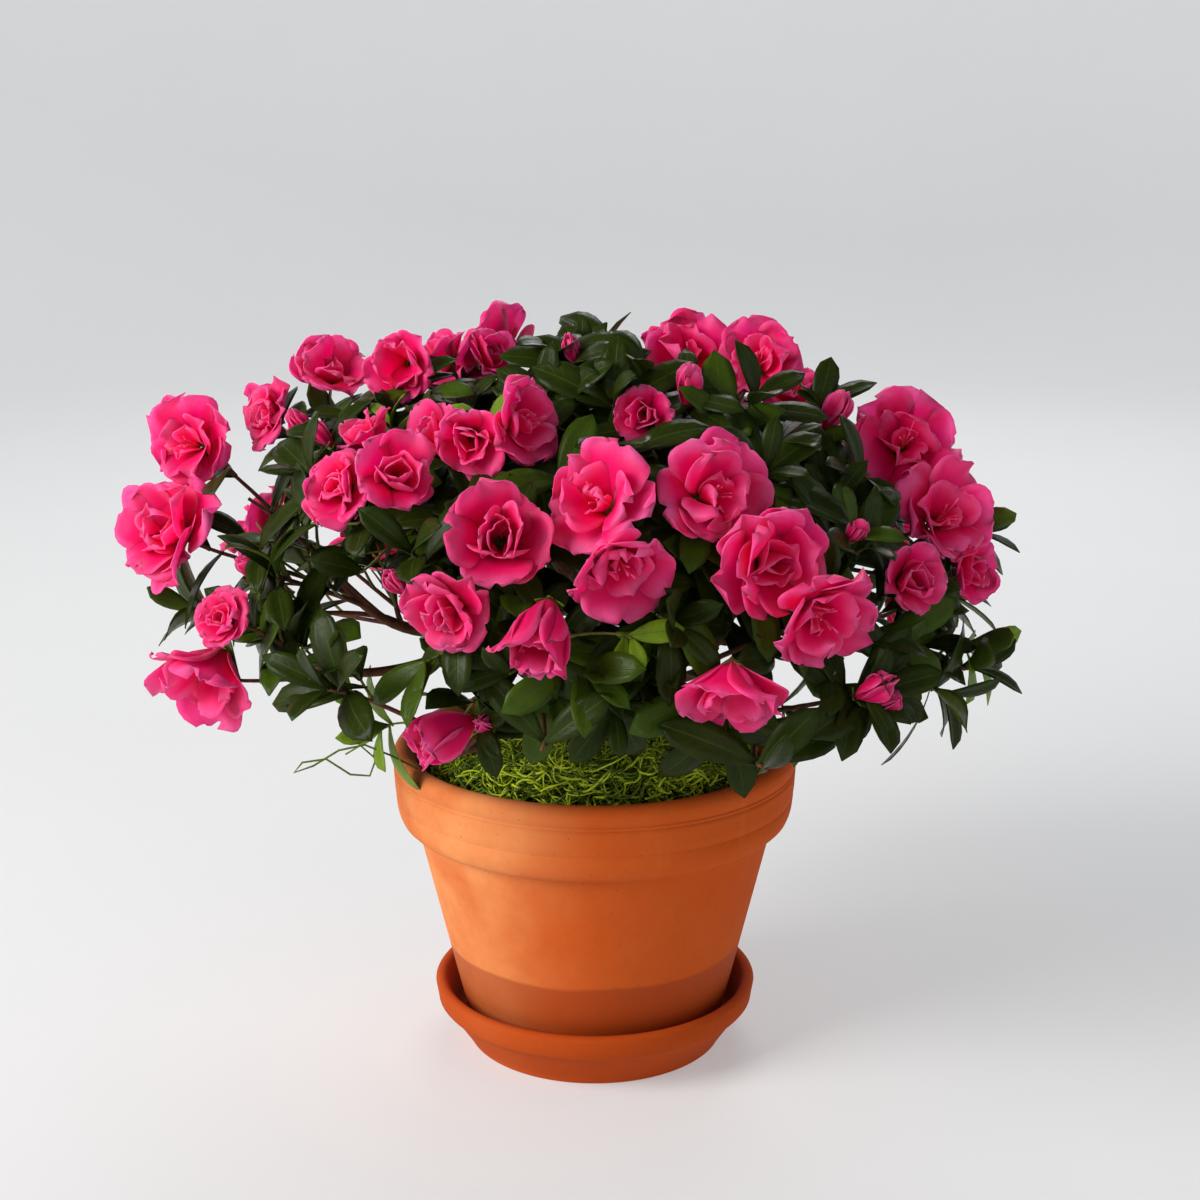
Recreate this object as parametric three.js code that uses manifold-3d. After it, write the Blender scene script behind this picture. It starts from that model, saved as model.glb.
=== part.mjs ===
// A potted azalea in full bloom: a clay pot standing in its saucer, peat and moss, a short stem that
// forks into boughs, and masses of twigs, leaves and flowers that make a low round crown.
// Millimetres, +Z up. The origin is the centre of the saucer's underside. The front faces -Y.
// A heading is an angle about +Z from +X (270 is the front, 180 the left), a rise is an angle above
// the horizontal, and a reach is a distance from the heart of the crown.

import * as THREE from 'three';
import { mergeVertices } from 'three/addons/utils/BufferGeometryUtils.js';
import Module from 'manifold-3d';

const wasm = await Module();
wasm.setup();

// ---- Driving dimensions ----

const GAP = 0.3;          // clearance between neighbouring solids
const ROUND_SIDES = 32;   // sides of the turned clay

const SAUCER = { foot: 64.9, shoulder: 76.4, rim: 79.6, inner: 74.8, floor: 7.7, step: 20, height: 32 };
const POT = {
  stands: SAUCER.floor + GAP, base: 64, waist: 89, rim: 100, wall: 7, floor: 8, drain: 7,
  band: 116,              // height of the underside of the rim band
  lip: 155,               // height of the top of the lip
};
const SOIL = { top: 140, edge: 138 };
const MOSS = { inner: 24, outer: 84, thick: 7, mound: 14, loop: 4, sides: 24, strands: 9 };
const STEM = { flare: 15, foot: 9.5, tip: 7, fork: 182, lean: 5, sides: 9 };

const HEART = new THREE.Vector3( 0, 0, 170 );
const CROWN = { across: 197, deep: 172, high: 186, shift: - 8 };   // shoot tips lie on this dome
const BOUGH = { base: 3.6, tip: 2.4, branch: 2.9, sides: 5, steps: 4, hub: 0.7 };
const TWIG = { stem: 2.8, stemTip: 2.2, slim: 1.25, knob: 1.9, steps: 2, clear: 5 };
const SHOOTS = { outer: 60, inner: 12, innerReach: 0.66, lowest: 0.1, flowerRoom: 12 };
// Leaves stay above a skirt that starts over the pot's rim and rises by the drop, most of it near the rim.
const SKIRT = { height: 171, drop: 31, within: 22 };
const SKY = { heading: 214, rise: 20, spread: 13 };                 // where the crown stays open
const LEAF = {
  slim: 0.4, thick: 1.5, sunk: 0.3, apart: 0.5,
  // Leaves at the end of a shoot, and round a flower or a bud: the sixths of a turn that they stand at in
  // order of growth, their length, and how far they start behind the twig's end.
  shoot: { turns: [ 0, 2, 4, 1, 3, 5 ], length: 50, back: 0.5 },
  collar: { turns: [ 1, 3, 5 ], length: 42, back: 3 },
  tries: [ [ 1, 0 ], [ 1, - 14 ], [ 0.85, 10 ], [ 0.8, - 10 ], [ 0.6, 0 ], [ 0.6, - 16 ] ],   // share, tilt
};
const PETALS = 5;         // lobes of a flower
const SPACE = 0.8;        // how much nearer its own twigs than another mass's a point must be

// The masses of foliage. Each has the limb that its own bough grows on, how far along that limb the bough
// starts, the middle of its space, and its flowers and buds as [ heading, rise, reach, radius ]. A number
// of flowers instead of a list places them by rule.
const MASSES = [
  { name: 'top', on: 'stem', from: 0.93, heading: 265, rise: 82, buds: [ [ 250, 81, 184, 6 ] ], flowers: [] },
  { name: 'left_tip', on: 'stem', from: 0.82, heading: 184, rise: 29, buds: [ [ 194, 27, 182, 7 ] ],
    flowers: [ [ 181, 35, 237, 22 ], [ 185, 25, 227, 27 ] ] },
  { name: 'low_centre', on: 'stem', from: 0.5, heading: 254, rise: 31, buds: [ [ 238, 32, 184, 6 ] ],
    flowers: [ [ 254, 40, 188, 22 ], [ 248, 29, 188, 18 ], [ 262, 27, 185, 19 ] ] },
  { name: 'front_right', on: 'stem', from: 0.8, heading: 300, rise: 29, buds: [],
    flowers: [ [ 299, 35, 190, 25 ], [ 304.5, 27, 190, 22 ], [ 290, 19, 176, 17 ] ] },
  { name: 'right_shoulder', on: 'stem', from: 0.52, heading: 356, rise: 42, buds: [ [ 354, 53, 188, 10 ] ],
    flowers: [ [ 1, 42, 202, 25 ], [ 351, 32, 198, 24 ], [ 354, 23, 198, 15 ] ] },
  { name: 'back_left', on: 'stem', from: 0.5, heading: 135, rise: 40, buds: [], flowers: 3 },
  { name: 'back_right', on: 'stem', from: 0.84, heading: 42, rise: 40, buds: [], flowers: 3 },
  { name: 'left_low', on: 'left_tip', from: 0.5, heading: 203, rise: 15, buds: [],
    flowers: [ [ 203, 20, 196, 14 ], [ 200, 11, 194, 25 ] ] },
  { name: 'left_crown', on: 'left_tip', from: 0.68, heading: 179, rise: 49,
    buds: [ [ 184, 46, 200, 7 ], [ 200, 48, 196, 6 ] ],
    flowers: [ [ 178, 43, 216, 17 ], [ 174, 53, 212, 20 ] ] },
  { name: 'left_top', on: 'top', from: 0.45, heading: 168, rise: 68, buds: [],
    flowers: [ [ 182, 62, 196, 13 ], [ 164, 67, 195, 12 ], [ 158, 73, 184, 14 ] ] },
  { name: 'left_face', on: 'low_centre', from: 0.66, heading: 223, rise: 48, buds: [],
    flowers: [ [ 213, 51, 196, 15 ], [ 220, 42, 198, 17 ], [ 231, 46, 195, 17 ] ] },
  { name: 'face_top', on: 'top', from: 0.6, heading: 247, rise: 58, buds: [],
    flowers: [ [ 229, 55, 190, 14 ], [ 241, 54, 190, 16 ], [ 251, 60, 186, 19 ] ] },
  { name: 'pot_edge', on: 'low_centre', from: 0.45, heading: 238, rise: 6, buds: [ [ 248, 14, 130, 6 ] ],
    flowers: [ [ 240, 11, 135, 16 ] ] },
  { name: 'front', on: 'front_right', from: 0.62, heading: 279, rise: 45, buds: [],
    flowers: [ [ 270, 46, 187, 23 ], [ 274, 36, 188, 22 ], [ 293, 46, 188, 24 ] ] },
  { name: 'right_low', on: 'front_right', from: 0.45, heading: 314, rise: 10, flowers: [],
    buds: [ [ 312, 16, 184, 9 ], [ 315, 14, 178, 8 ] ] },
  { name: 'right_face', on: 'right_shoulder', from: 0.45, heading: 322, rise: 42,
    buds: [ [ 320, 37, 186, 6 ] ], flowers: [] },
  { name: 'right_tip', on: 'right_shoulder', from: 0.64, heading: 345, rise: 20, buds: [],
    flowers: [ [ 329, 28, 188, 15 ] ] },
  { name: 'top_right', on: 'top', from: 0.75, heading: 350, rise: 70, buds: [ [ 307, 67, 182, 9 ] ],
    flowers: [ [ 30, 73, 183, 21 ], [ 9, 65, 190, 19 ], [ 286, 64, 180, 12 ] ] },
  { name: 'back_top', on: 'top', from: 0.32, heading: 95, rise: 60, buds: [], flowers: 2 },
  { name: 'back_low_left', on: 'back_left', from: 0.5, heading: 146, rise: 12, buds: [], flowers: 3 },
  { name: 'back_low', on: 'back_left', from: 0.68, heading: 92, rise: 14, buds: [], flowers: 3 },
  { name: 'back_low_right', on: 'back_right', from: 0.5, heading: 35, rise: 12, buds: [], flowers: 3 },
];
const RULE_FLOWERS = { spread: 15, lowest: 9, proud: 8, radius: 21, vary: 4 };

const COLOURS = {
  clay: 0xb9602c, saucer: 0xa8501f, soil: 0x2b1d12, moss: 0x8a9a2a, bark: 0x5b3a24, crown: 0xd8326e,
};

// ---- Small helpers ----

const rad = THREE.MathUtils.degToRad;
const at = ( x, y, z ) => new THREE.Vector3( x, y, z );

// A repeatable stream of numbers from 0 to 1.
function dice( seed ) {
  let state = seed;
  return () => {
    state = ( state * 16807 ) % 2147483647;
    return state / 2147483647;
  };
}

function direction( heading, rise ) {
  const level = Math.cos( rad( rise ) );
  const turn = rad( heading );
  return at( level * Math.cos( turn ), level * Math.sin( turn ), Math.sin( rad( rise ) ) );
}

function fromHeart( heading, rise, reach ) {
  return direction( heading, rise ).multiplyScalar( reach ).add( HEART );
}

// Two directions square to a third, and to each other.
function sidesOf( axis ) {
  const guide = Math.abs( axis.z ) > 0.9 ? at( 1, 0, 0 ) : at( 0, 0, 1 );
  const across = new THREE.Vector3().crossVectors( guide, axis ).normalize();
  return [ across, new THREE.Vector3().crossVectors( axis, across ) ];
}

// A three.js geometry as a solid: shared corners merged, and triangles folded flat at a pole dropped.
function solid( geometry ) {
  geometry.deleteAttribute( 'normal' );
  geometry.deleteAttribute( 'uv' );
  const merged = mergeVertices( geometry, 1e-4 );
  const corners = merged.index.array;
  const triangles = [];
  for ( let i = 0; i < corners.length; i += 3 ) {
    const [ a, b, c ] = corners.slice( i, i + 3 );
    if ( a !== b && b !== c && c !== a ) triangles.push( a, b, c );
  }
  return new wasm.Manifold( new wasm.Mesh( {
    numProp: 3,
    vertProperties: new Float32Array( merged.attributes.position.array ),
    triVerts: new Uint32Array( triangles ),
  } ) );
}

// The outer skin of a solid, which is the one that holds the most. Loose scraps and the skins of sealed
// hollows are left out.
function outerSkin( body ) {
  const { vertProperties, triVerts } = body.getMesh();
  const corner = ( i ) => new THREE.Vector3().fromArray( vertProperties, 3 * i );
  const link = Array.from( vertProperties, ( _, i ) => i );
  const skinOf = ( i ) => {
    while ( link[ i ] !== i ) i = link[ i ];
    return i;
  };
  for ( let i = 0; i < triVerts.length; i += 3 ) {
    for ( const next of [ i + 1, i + 2 ] ) link[ skinOf( triVerts[ next ] ) ] = skinOf( triVerts[ i ] );
  }
  const skins = new Map();
  for ( let i = 0; i < triVerts.length; i += 3 ) {
    const [ a, b, c ] = triVerts.slice( i, i + 3 );
    const skin = skins.get( skinOf( a ) ) || { holds: 0, triangles: [] };
    skin.holds += corner( a ).dot( corner( b ).cross( corner( c ) ) );
    skin.triangles.push( a, b, c );
    skins.set( skinOf( a ), skin );
  }
  const outer = [ ...skins.values() ].sort( ( a, b ) => b.holds - a.holds )[ 0 ];
  const geometry = new THREE.BufferGeometry();
  geometry.setAttribute( 'position', new THREE.BufferAttribute( vertProperties, 3 ) );
  geometry.setIndex( outer.triangles );
  return geometry;
}

function moveCorners( geometry, change ) {
  const corners = geometry.attributes.position;
  for ( let i = 0; i < corners.count; i ++ ) {
    const p = change( at( corners.getX( i ), corners.getY( i ), corners.getZ( i ) ) );
    corners.setXYZ( i, p.x, p.y, p.z );
  }
  return geometry;
}

// A cylinder bent along a curve, with its radius given along the curve from 0 to 1. The middle of each
// end is drawn to a corner, so that the end is a fan of as few triangles as it can be.
function limb( curve, radiusAt, sides, steps ) {
  const frames = curve.computeFrenetFrames( steps );
  return moveCorners( new THREE.CylinderGeometry( 1, 1, 1, sides, steps ), ( p ) => {
    const k = Math.round( ( p.y + 0.5 ) * steps );
    const radius = radiusAt( k / steps );
    const middle = Math.hypot( p.x, p.z ) < 0.5;
    return curve.getPointAt( k / steps )
      .addScaledVector( frames.binormals[ k ], p.x * radius )
      .addScaledVector( frames.normals[ k ], ( middle ? 1 : p.z ) * radius );
  } );
}

const taper = ( from, to ) => ( t ) => from + ( to - from ) * t;

// A shape turned about +Z from [ radius, height ] points, outside first and upwards.
function turned( profile, sides ) {
  const points = profile.map( ( [ radius, height ] ) => new THREE.Vector2( radius, height ) );
  return new THREE.LatheGeometry( points, sides ).rotateX( Math.PI / 2 );
}

// ---- Saucer, pot, soil and moss ----

function saucer() {
  const { foot, shoulder, rim, inner, floor, step, height } = SAUCER;
  return turned( [
    [ 0, 0 ], [ foot - 1.5, 0 ], [ foot, 1.5 ], [ shoulder, step - 1.5 ], [ rim, step ],
    [ rim + 0.8, step + 5 ], [ rim + 0.4, height - 2.5 ], [ rim - 1.5, height ],
    [ inner + 0.8, height - 0.4 ], [ inner - 0.4, height - 2.5 ], [ inner - 4, floor + 5 ],
    [ POT.base + 2.5, floor ], [ 0, floor ],
  ], ROUND_SIDES );
}

// Radius of the pot's inner wall at a height.
function potInside( height ) {
  const { stands, floor, base, wall, band, waist, rim, lip } = POT;
  const low = stands + floor;
  if ( height < band ) return THREE.MathUtils.mapLinear( height, low, band, base - wall, waist - wall );
  return THREE.MathUtils.mapLinear( height, band, lip - 4, waist - wall, rim - 9 );
}

function pot() {
  const { stands, base, waist, rim, floor, drain, band, lip } = POT;
  const inside = stands + floor;
  return turned( [
    [ drain, stands ], [ base - 2, stands ], [ base, stands + 2 ], [ waist, band ], [ rim - 7, band + 1 ],
    [ rim - 2.8, band + 4.5 ], [ rim - 1.2, band + 10 ], [ rim, lip - 8 ], [ rim - 0.5, lip - 4.5 ],
    [ rim - 2, lip - 1.5 ], [ rim - 4.7, lip ], [ rim - 7.5, lip - 1.2 ], [ potInside( lip - 4 ), lip - 4 ],
    [ potInside( band ), band ], [ potInside( inside + 3 ), inside + 3 ], [ potInside( inside ) - 3, inside ],
    [ drain, inside ], [ drain, stands ],
  ], ROUND_SIDES );
}

function soil() {
  const low = POT.stands + POT.floor + GAP;
  const { top, edge } = SOIL;
  return turned( [
    [ 0, low ], [ potInside( low ) - 4, low ], [ potInside( low + 4 ) - GAP * 1.2, low + 4 ],
    [ potInside( POT.band ) - GAP * 1.2, POT.band ], [ potInside( edge ) - GAP * 1.2, edge ],
    [ MOSS.inner - 2, top ], [ 0, top ],
  ], ROUND_SIDES );
}

// How high the moss stands above its bed: highest at the front, low and lumpy elsewhere.
function mossHeight( angle ) {
  const front = Math.max( 0, Math.cos( angle - rad( 262 ) ) );
  return MOSS.thick + MOSS.mound * front ** 2 + 1.3 * Math.sin( 5 * angle ) + 0.8 * Math.sin( 9 * angle + 1 );
}

function moss() {
  const { inner, outer, strands, loop } = MOSS;
  const bed = SOIL.top + GAP;
  const section = [
    [ inner, 0 ], [ outer, 0 ], [ outer - 2, 0.5 ], [ outer - 15, 1 ], [ inner + 14, 0.85 ], [ inner, 0 ],
  ];
  const mound = moveCorners( turned( section, MOSS.sides ), ( p ) => {
    const angle = Math.atan2( p.y, p.x );
    return p.setZ( bed + p.z * mossHeight( angle ) );
  } );
  let body = solid( mound );
  for ( let i = 0; i < strands; i ++ ) {
    const roll = dice( 911 + 37 * i );
    const heading = 205 + 130 * ( i + roll() ) / strands;
    const angle = rad( heading );
    const from = direction( heading, 0 ).multiplyScalar( 50 + 20 * roll() );
    from.setZ( bed + 0.5 * mossHeight( angle ) );
    const turn = direction( heading + 60 * ( roll() - 0.5 ), 0 ).multiplyScalar( 12 + 8 * roll() );
    const to = from.clone().add( turn );
    const high = from.clone().lerp( to, 0.5 ).setZ( bed + mossHeight( angle ) + loop * ( 1 + roll() ) );
    to.setZ( bed + 0.4 * mossHeight( angle ) );
    body = body.add( solid( limb( new THREE.QuadraticBezierCurve3( from, high, to ), () => 0.9, 3, 4 ) ) );
  }
  return outerSkin( body );
}

// ---- Stem and boughs ----

const stemTop = at( STEM.lean, 0, STEM.fork );
const stemCurve = new THREE.QuadraticBezierCurve3(
  at( 0, 0, SOIL.top + GAP ), at( 0, 0, ( SOIL.top + STEM.fork ) / 2 ), stemTop );

// The stem's radius: a flare at the foot, then a slow taper to the fork.
function stemRadius( t ) {
  return taper( STEM.foot, STEM.tip )( t ) + ( STEM.flare - STEM.foot ) * ( 1 - t ) ** 6;
}

const limbs = new Map();
limbs.set( 'stem', { curve: stemCurve, radiusAt: stemRadius, sides: STEM.sides, steps: 8 } );

function massCentre( mass ) {
  return fromHeart( mass.heading, mass.rise, domeReach( mass.heading, mass.rise ) * BOUGH.hub );
}

// The reach of the crown's dome in a direction.
function domeReach( heading, rise ) {
  const way = direction( heading, rise );
  const { across, deep, high, shift } = CROWN;
  const a = ( way.x / across ) ** 2 + ( way.y / deep ) ** 2 + ( way.z / high ) ** 2;
  const b = - shift * way.x / across ** 2;
  const c = ( shift / across ) ** 2 - 1;
  return ( - b + Math.sqrt( b * b - a * c ) ) / a;
}

// A main bough leaves the stem, and a lesser one leaves a main bough. Each arches out towards the middle
// of its mass, and ends where the mass begins.
function planBough( mass ) {
  const centre = massCentre( mass );
  const main = mass.on === 'stem';
  const parent = limbs.get( mass.on );
  const start = parent.curve.getPointAt( mass.from );
  const end = start.clone().lerp( centre, main ? 0.6 : 0.5 );
  const rise = main ? 0.35 : 0.12;
  const bend = start.clone().lerp( end, 0.45 );
  bend.z += rise * start.distanceTo( end ) * Math.cos( rad( mass.rise ) );
  const curve = new THREE.QuadraticBezierCurve3( start, bend, end );
  const base = main ? BOUGH.base : BOUGH.branch;
  const plan = { curve, radiusAt: taper( base, BOUGH.tip ), sides: BOUGH.sides, steps: BOUGH.steps };
  limbs.set( mass.name, plan );
}

MASSES.filter( ( mass ) => mass.on === 'stem' ).forEach( planBough );
MASSES.filter( ( mass ) => mass.on !== 'stem' ).forEach( planBough );

// Each limb in turn is cut clear of the ones before it.
function buildLimbs() {
  const built = new Map();
  const grown = [];
  for ( const [ name, { curve, radiusAt, sides, steps } ] of limbs ) {
    let body = solid( limb( curve, radiusAt, sides, steps ) );
    for ( const other of grown ) body = body.subtract( other );
    built.set( name, outerSkin( body ) );
    grown.push( solid( limb( curve, ( t ) => radiusAt( t ) + GAP * 1.3, sides, steps ) ) );
  }
  return built;
}

// ---- Twigs ----

// The places in a mass that its twigs grow to: flowers, buds, and shoots that end in a whorl of leaves.
function ruleFlowers( mass, index ) {
  const flowers = [];
  for ( let i = 0; i < mass.flowers; i ++ ) {
    const roll = dice( 4001 + 97 * index + 13 * i );
    const turn = rad( 360 * ( i + 0.4 * roll() ) / mass.flowers + 40 * index );
    const rise = Math.max( RULE_FLOWERS.lowest, mass.rise + RULE_FLOWERS.spread * Math.sin( turn ) );
    const heading = mass.heading + RULE_FLOWERS.spread * Math.cos( turn ) / Math.cos( rad( mass.rise ) );
    const radius = RULE_FLOWERS.radius + RULE_FLOWERS.vary * ( 2 * roll() - 1 );
    flowers.push( [ heading, rise, domeReach( heading, rise ) + RULE_FLOWERS.proud, radius ] );
  }
  return flowers;
}

function place( kind, [ heading, rise, reach, radius ] ) {
  return { kind, radius, point: fromHeart( heading, rise, reach ), out: direction( heading, rise ) };
}

const sites = MASSES.map( ( mass, index ) => {
  const flowers = Array.isArray( mass.flowers ) ? mass.flowers : ruleFlowers( mass, index );
  return [
    ...flowers.map( ( flower ) => place( 'flower', flower ) ),
    ...mass.buds.map( ( bud ) => place( 'bud', bud ) ),
  ];
} );

function nearestMass( point ) {
  const far = MASSES.map( ( mass ) => massCentre( mass ).distanceTo( point ) );
  return far.indexOf( Math.min( ...far ) );
}

// Shoots are spread over a dome by the golden angle, and kept where no flower stands.
function addShoots( count, share, turn ) {
  const flowers = sites.flat().filter( ( site ) => site.kind === 'flower' );
  for ( let i = 0; i < count; i ++ ) {
    const height = SHOOTS.lowest + ( 1 - SHOOTS.lowest ) * ( i + 0.5 ) / count;
    const rise = THREE.MathUtils.radToDeg( Math.asin( height ) );
    const heading = ( turn + 137.508 * i ) % 360;
    const open = Math.hypot( heading - SKY.heading, rise - SKY.rise ) < SKY.spread;
    const shoot = place( 'shoot', [ heading, rise, domeReach( heading, rise ) * share, 0 ] );
    const crowded = flowers.some( ( flower ) =>
      flower.point.distanceTo( shoot.point ) < flower.radius + SHOOTS.flowerRoom );
    if ( ! open && ! crowded ) sites[ nearestMass( shoot.point ) ].push( shoot );
  }
}

addShoots( SHOOTS.outer, 1, 20 );
addShoots( SHOOTS.inner, SHOOTS.innerReach, 75 );

const SAMPLES = 8;        // points along a curve that stand for it in a distance test

function sample( curve, from = 0 ) {
  const shares = Array.from( { length: SAMPLES + 1 }, ( _, i ) => from + ( 1 - from ) * i / SAMPLES );
  return shares.map( ( share ) => curve.getPoint( share ) );
}

const closest = ( points, p ) => points.reduce( ( best, q ) => Math.min( best, q.distanceTo( p ) ), Infinity );

// A twig runs from its mass's stem to a site, and arrives in the direction that the site faces.
function twigCurve( stem, share, site ) {
  const start = stem.getPoint( share );
  const back = site.kind === 'flower' ? 0.45 * site.radius : 0;
  const end = site.point.clone().addScaledVector( site.out, - back );
  const length = start.distanceTo( end );
  const leave = end.clone().sub( start ).normalize();
  leave.addScaledVector( stem.getTangent( share ), 0.4 ).normalize();
  return new THREE.CubicBezierCurve3( start, start.clone().addScaledVector( leave, length * 0.3 ),
    end.clone().addScaledVector( site.out, - length * 0.3 ), end );
}

// Plans every mass: its stem, its twigs, and the points of both. A twig that would pass close to
// another mass's twig, or to a limb, starts elsewhere on the stem or is left out.
function planMasses() {
  const planned = MASSES.map( ( mass, index ) => {
    const { curve } = limbs.get( mass.name );
    const tip = curve.getPoint( 1 );
    const way = curve.getTangent( 1 );
    const centre = massCentre( mass );
    const start = tip.clone().addScaledVector( way, GAP );
    const bend = start.clone().addScaledVector( way, 0.5 * start.distanceTo( centre ) );
    const stem = new THREE.QuadraticBezierCurve3( start, bend, centre );
    return { index, mass, stem, twigs: [], points: sample( stem ) };
  } );
  const wood = [ ...limbs.values() ].map( ( plan ) => sample( plan.curve ) ).flat();
  for ( const plan of planned ) {
    const others = planned.filter( ( other ) => other !== plan );
    for ( const [ order, site ] of sites[ plan.index ].entries() ) {
      const first = order / sites[ plan.index ].length;
      for ( const step of [ 0, 0.5, 0.25, 0.75 ] ) {
        const curve = twigCurve( plan.stem, 1 - 0.75 * ( ( first + step ) % 1 ), site );
        const points = sample( curve, 0.15 );
        const clear = points.every( ( p ) => closest( wood, p ) > TWIG.clear
          && others.every( ( other ) => closest( other.points, p ) > TWIG.clear ) );
        if ( clear ) {
          plan.twigs.push( { curve, site } );
          plan.points.push( ...points, site.point );
          break;
        }
      }
    }
  }
  return planned;
}

const plans = planMasses();

// ---- Leaves and flowers ----

// An element is kept when all of it lies in its mass's own space, off the limbs, and off the pot.
function fits( geometry, plan ) {
  const corners = geometry.attributes.position;
  for ( let i = 0; i < corners.count; i ++ ) {
    const p = at( corners.getX( i ), corners.getY( i ), corners.getZ( i ) );
    const own = closest( plan.points, p );
    const others = plans.filter( ( other ) => other !== plan );
    if ( others.some( ( other ) => closest( other.points, p ) < own + SPACE ) ) return false;
    if ( [ ...limbs.values() ].some( ( { curve, radiusAt } ) =>
      closest( sample( curve ), p ) < radiusAt( 0 ) + 1.5 ) ) return false;
    const past = Math.max( 0, Math.hypot( p.x, p.y ) - POT.rim );
    if ( p.z < SKIRT.height + SKIRT.drop * ( 1 - Math.exp( - past / SKIRT.within ) ) ) return false;
  }
  return true;
}

// Stands a shape that is made along +X, with its face to +Z, at a root, along an axis.
function stand( geometry, root, axis, face ) {
  const up = face.clone().addScaledVector( axis, - face.dot( axis ) ).normalize();
  const side = new THREE.Vector3().crossVectors( up, axis );
  return geometry.applyMatrix4( new THREE.Matrix4().makeBasis( axis, side, up ).setPosition( root ) );
}

// A leaf is a slim eight-faced blade, widest past its middle, whose tip hangs a little.
function leaf( length, width ) {
  const blade = new THREE.OctahedronGeometry( 1 );
  blade.scale( length / 2, width / 2, LEAF.thick / 2 ).translate( length / 2, 0, 0 );
  return moveCorners( blade, ( p ) => at( p.x, p.y, p.z - 0.12 * length * ( p.x / length ) ** 2 ) );
}

// Leaves round the end of a twig. Two stand on each of its three sides, the later ones more upright.
// One that leaves its mass's space, or meets a flower, a twig or another shoot's leaf, is tried again
// smaller and at another tilt, and else skipped.
function whorl( plan, twig, taken, { turns, length, back }, roll ) {
  const { curve, site } = twig;
  const { normals, binormals } = curve.computeFrenetFrames( TWIG.steps );
  const found = [];
  for ( const [ i, step ] of turns.entries() ) {
    const turn = rad( 30 + 60 * step + 16 * ( roll() - 0.5 ) );
    const lean = 80 - 30 * i / turns.length + 10 * roll();
    const side = normals.at( - 1 ).clone().multiplyScalar( Math.cos( turn ) )
      .addScaledVector( binormals.at( - 1 ), Math.sin( turn ) );
    const full = length * ( 0.85 + 0.3 * roll() );
    const behind = back + LEAF.apart * ( turns.length - i );
    const seat = curve.getPointAt( Math.max( 0.1, 1 - behind / curve.getLength() ) );
    for ( const [ share, more ] of LEAF.tries ) {
      const tilt = rad( lean + more );
      const axis = site.out.clone().multiplyScalar( Math.cos( tilt ) ).addScaledVector( side, Math.sin( tilt ) );
      const size = full * share;
      const root = seat.clone().addScaledVector( axis, - LEAF.sunk );
      const blade = stand( leaf( size, size * LEAF.slim ), root, axis, site.out );
      const body = solid( blade.clone() );
      if ( fits( blade, plan ) && taken.every( ( other ) => other.intersect( body ).isEmpty() ) ) {
        found.push( body );
        break;
      }
    }
  }
  return found;
}

// A flower is one closed body: a cup whose rim is cut into petals, and the rosette that stands in it,
// turned so that its petals close the gaps.
function flower( radius, roll ) {
  const narrow = radius < 13 ? 0.75 : 1;
  const profile = [ [ 0, - 0.62 ], [ 0.8, 0.12 ], [ 0.4, 0.48 ], [ 0, 0.24 ] ];
  const lobes = Array.from( { length: PETALS }, () => 0.9 + 0.2 * roll() );
  return moveCorners( turned( profile, 2 * PETALS ), ( p ) => {
    const level = Math.hypot( p.x, p.y );
    if ( level < 0.01 ) return p.multiplyScalar( radius );
    const turn = PETALS * ( Math.atan2( p.y, p.x ) + Math.PI );
    const outer = level > 0.6;
    const wave = Math.cos( turn + ( outer ? 0 : Math.PI ) );
    const size = narrow * ( outer ? lobes[ Math.round( turn / ( 2 * Math.PI ) ) % PETALS ] : 1 );
    const spread = size * ( 1 + 0.22 * wave );
    return at( p.x * spread, p.y * spread, p.z + 0.16 * wave ).multiplyScalar( radius );
  } );
}

function bud( radius ) {
  const girth = radius * 0.75;
  return new THREE.SphereGeometry( 1, 5, 3 ).rotateX( Math.PI / 2 ).scale( girth, girth, radius * 1.5 );
}

// Turns a shape that faces +Z to face outwards from a site.
function face( geometry, site ) {
  const [ across, along ] = sidesOf( site.out );
  const turn = new THREE.Matrix4().makeBasis( across, along, site.out );
  return geometry.applyMatrix4( turn.setPosition( site.point ) );
}

// What stands at the end of a twig: a flower, a bud, or nothing but its leaves.
function bloom( site, room, roll ) {
  if ( site.kind === 'shoot' ) return [];
  return [ solid( face( site.kind === 'flower' ? flower( room, roll ) : bud( room ), site ) ) ];
}

// The room at a site: a flower's radius is held to half way to another mass.
function roomAt( plan, site ) {
  const others = plans.filter( ( other ) => other !== plan );
  const near = Math.min( ...others.map( ( other ) => closest( other.points, site.point ) ) );
  return Math.min( site.radius, near / 2 - SPACE );
}

// One mass: its stem, its twigs, and what they carry, fused into one solid.
function foliage( plan ) {
  const stem = solid( limb( plan.stem, taper( TWIG.stem, TWIG.stemTip ), 5, 3 ) );
  const grown = plan.twigs.map( ( twig, i ) => {
    const { curve, site } = twig;
    const roll = dice( 10007 + 1009 * plan.index + 31 * i );
    const wood = solid( limb( curve, ( t ) => t < 1 ? TWIG.slim : TWIG.knob, 3, TWIG.steps ) );
    return { twig, roll, wood, bloom: bloom( site, roomAt( plan, site ), roll ) };
  } );
  const blooms = grown.flatMap( ( { bloom } ) => bloom );
  const leaves = [];
  for ( const { twig, roll, wood } of grown ) {
    const woods = [ stem, ...grown.map( ( other ) => other.wood ) ].filter( ( other ) => other !== wood );
    const kind = twig.site.kind === 'shoot' ? LEAF.shoot : LEAF.collar;
    leaves.push( ...whorl( plan, twig, [ ...blooms, ...woods, ...leaves ], kind, roll ) );
  }
  const woods = grown.map( ( { wood } ) => wood );
  return outerSkin( wasm.Manifold.union( [ stem, ...woods, ...blooms, ...leaves ] ) );
}

// ---- The assembled plant ----

const azalea = new THREE.Group();

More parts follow.
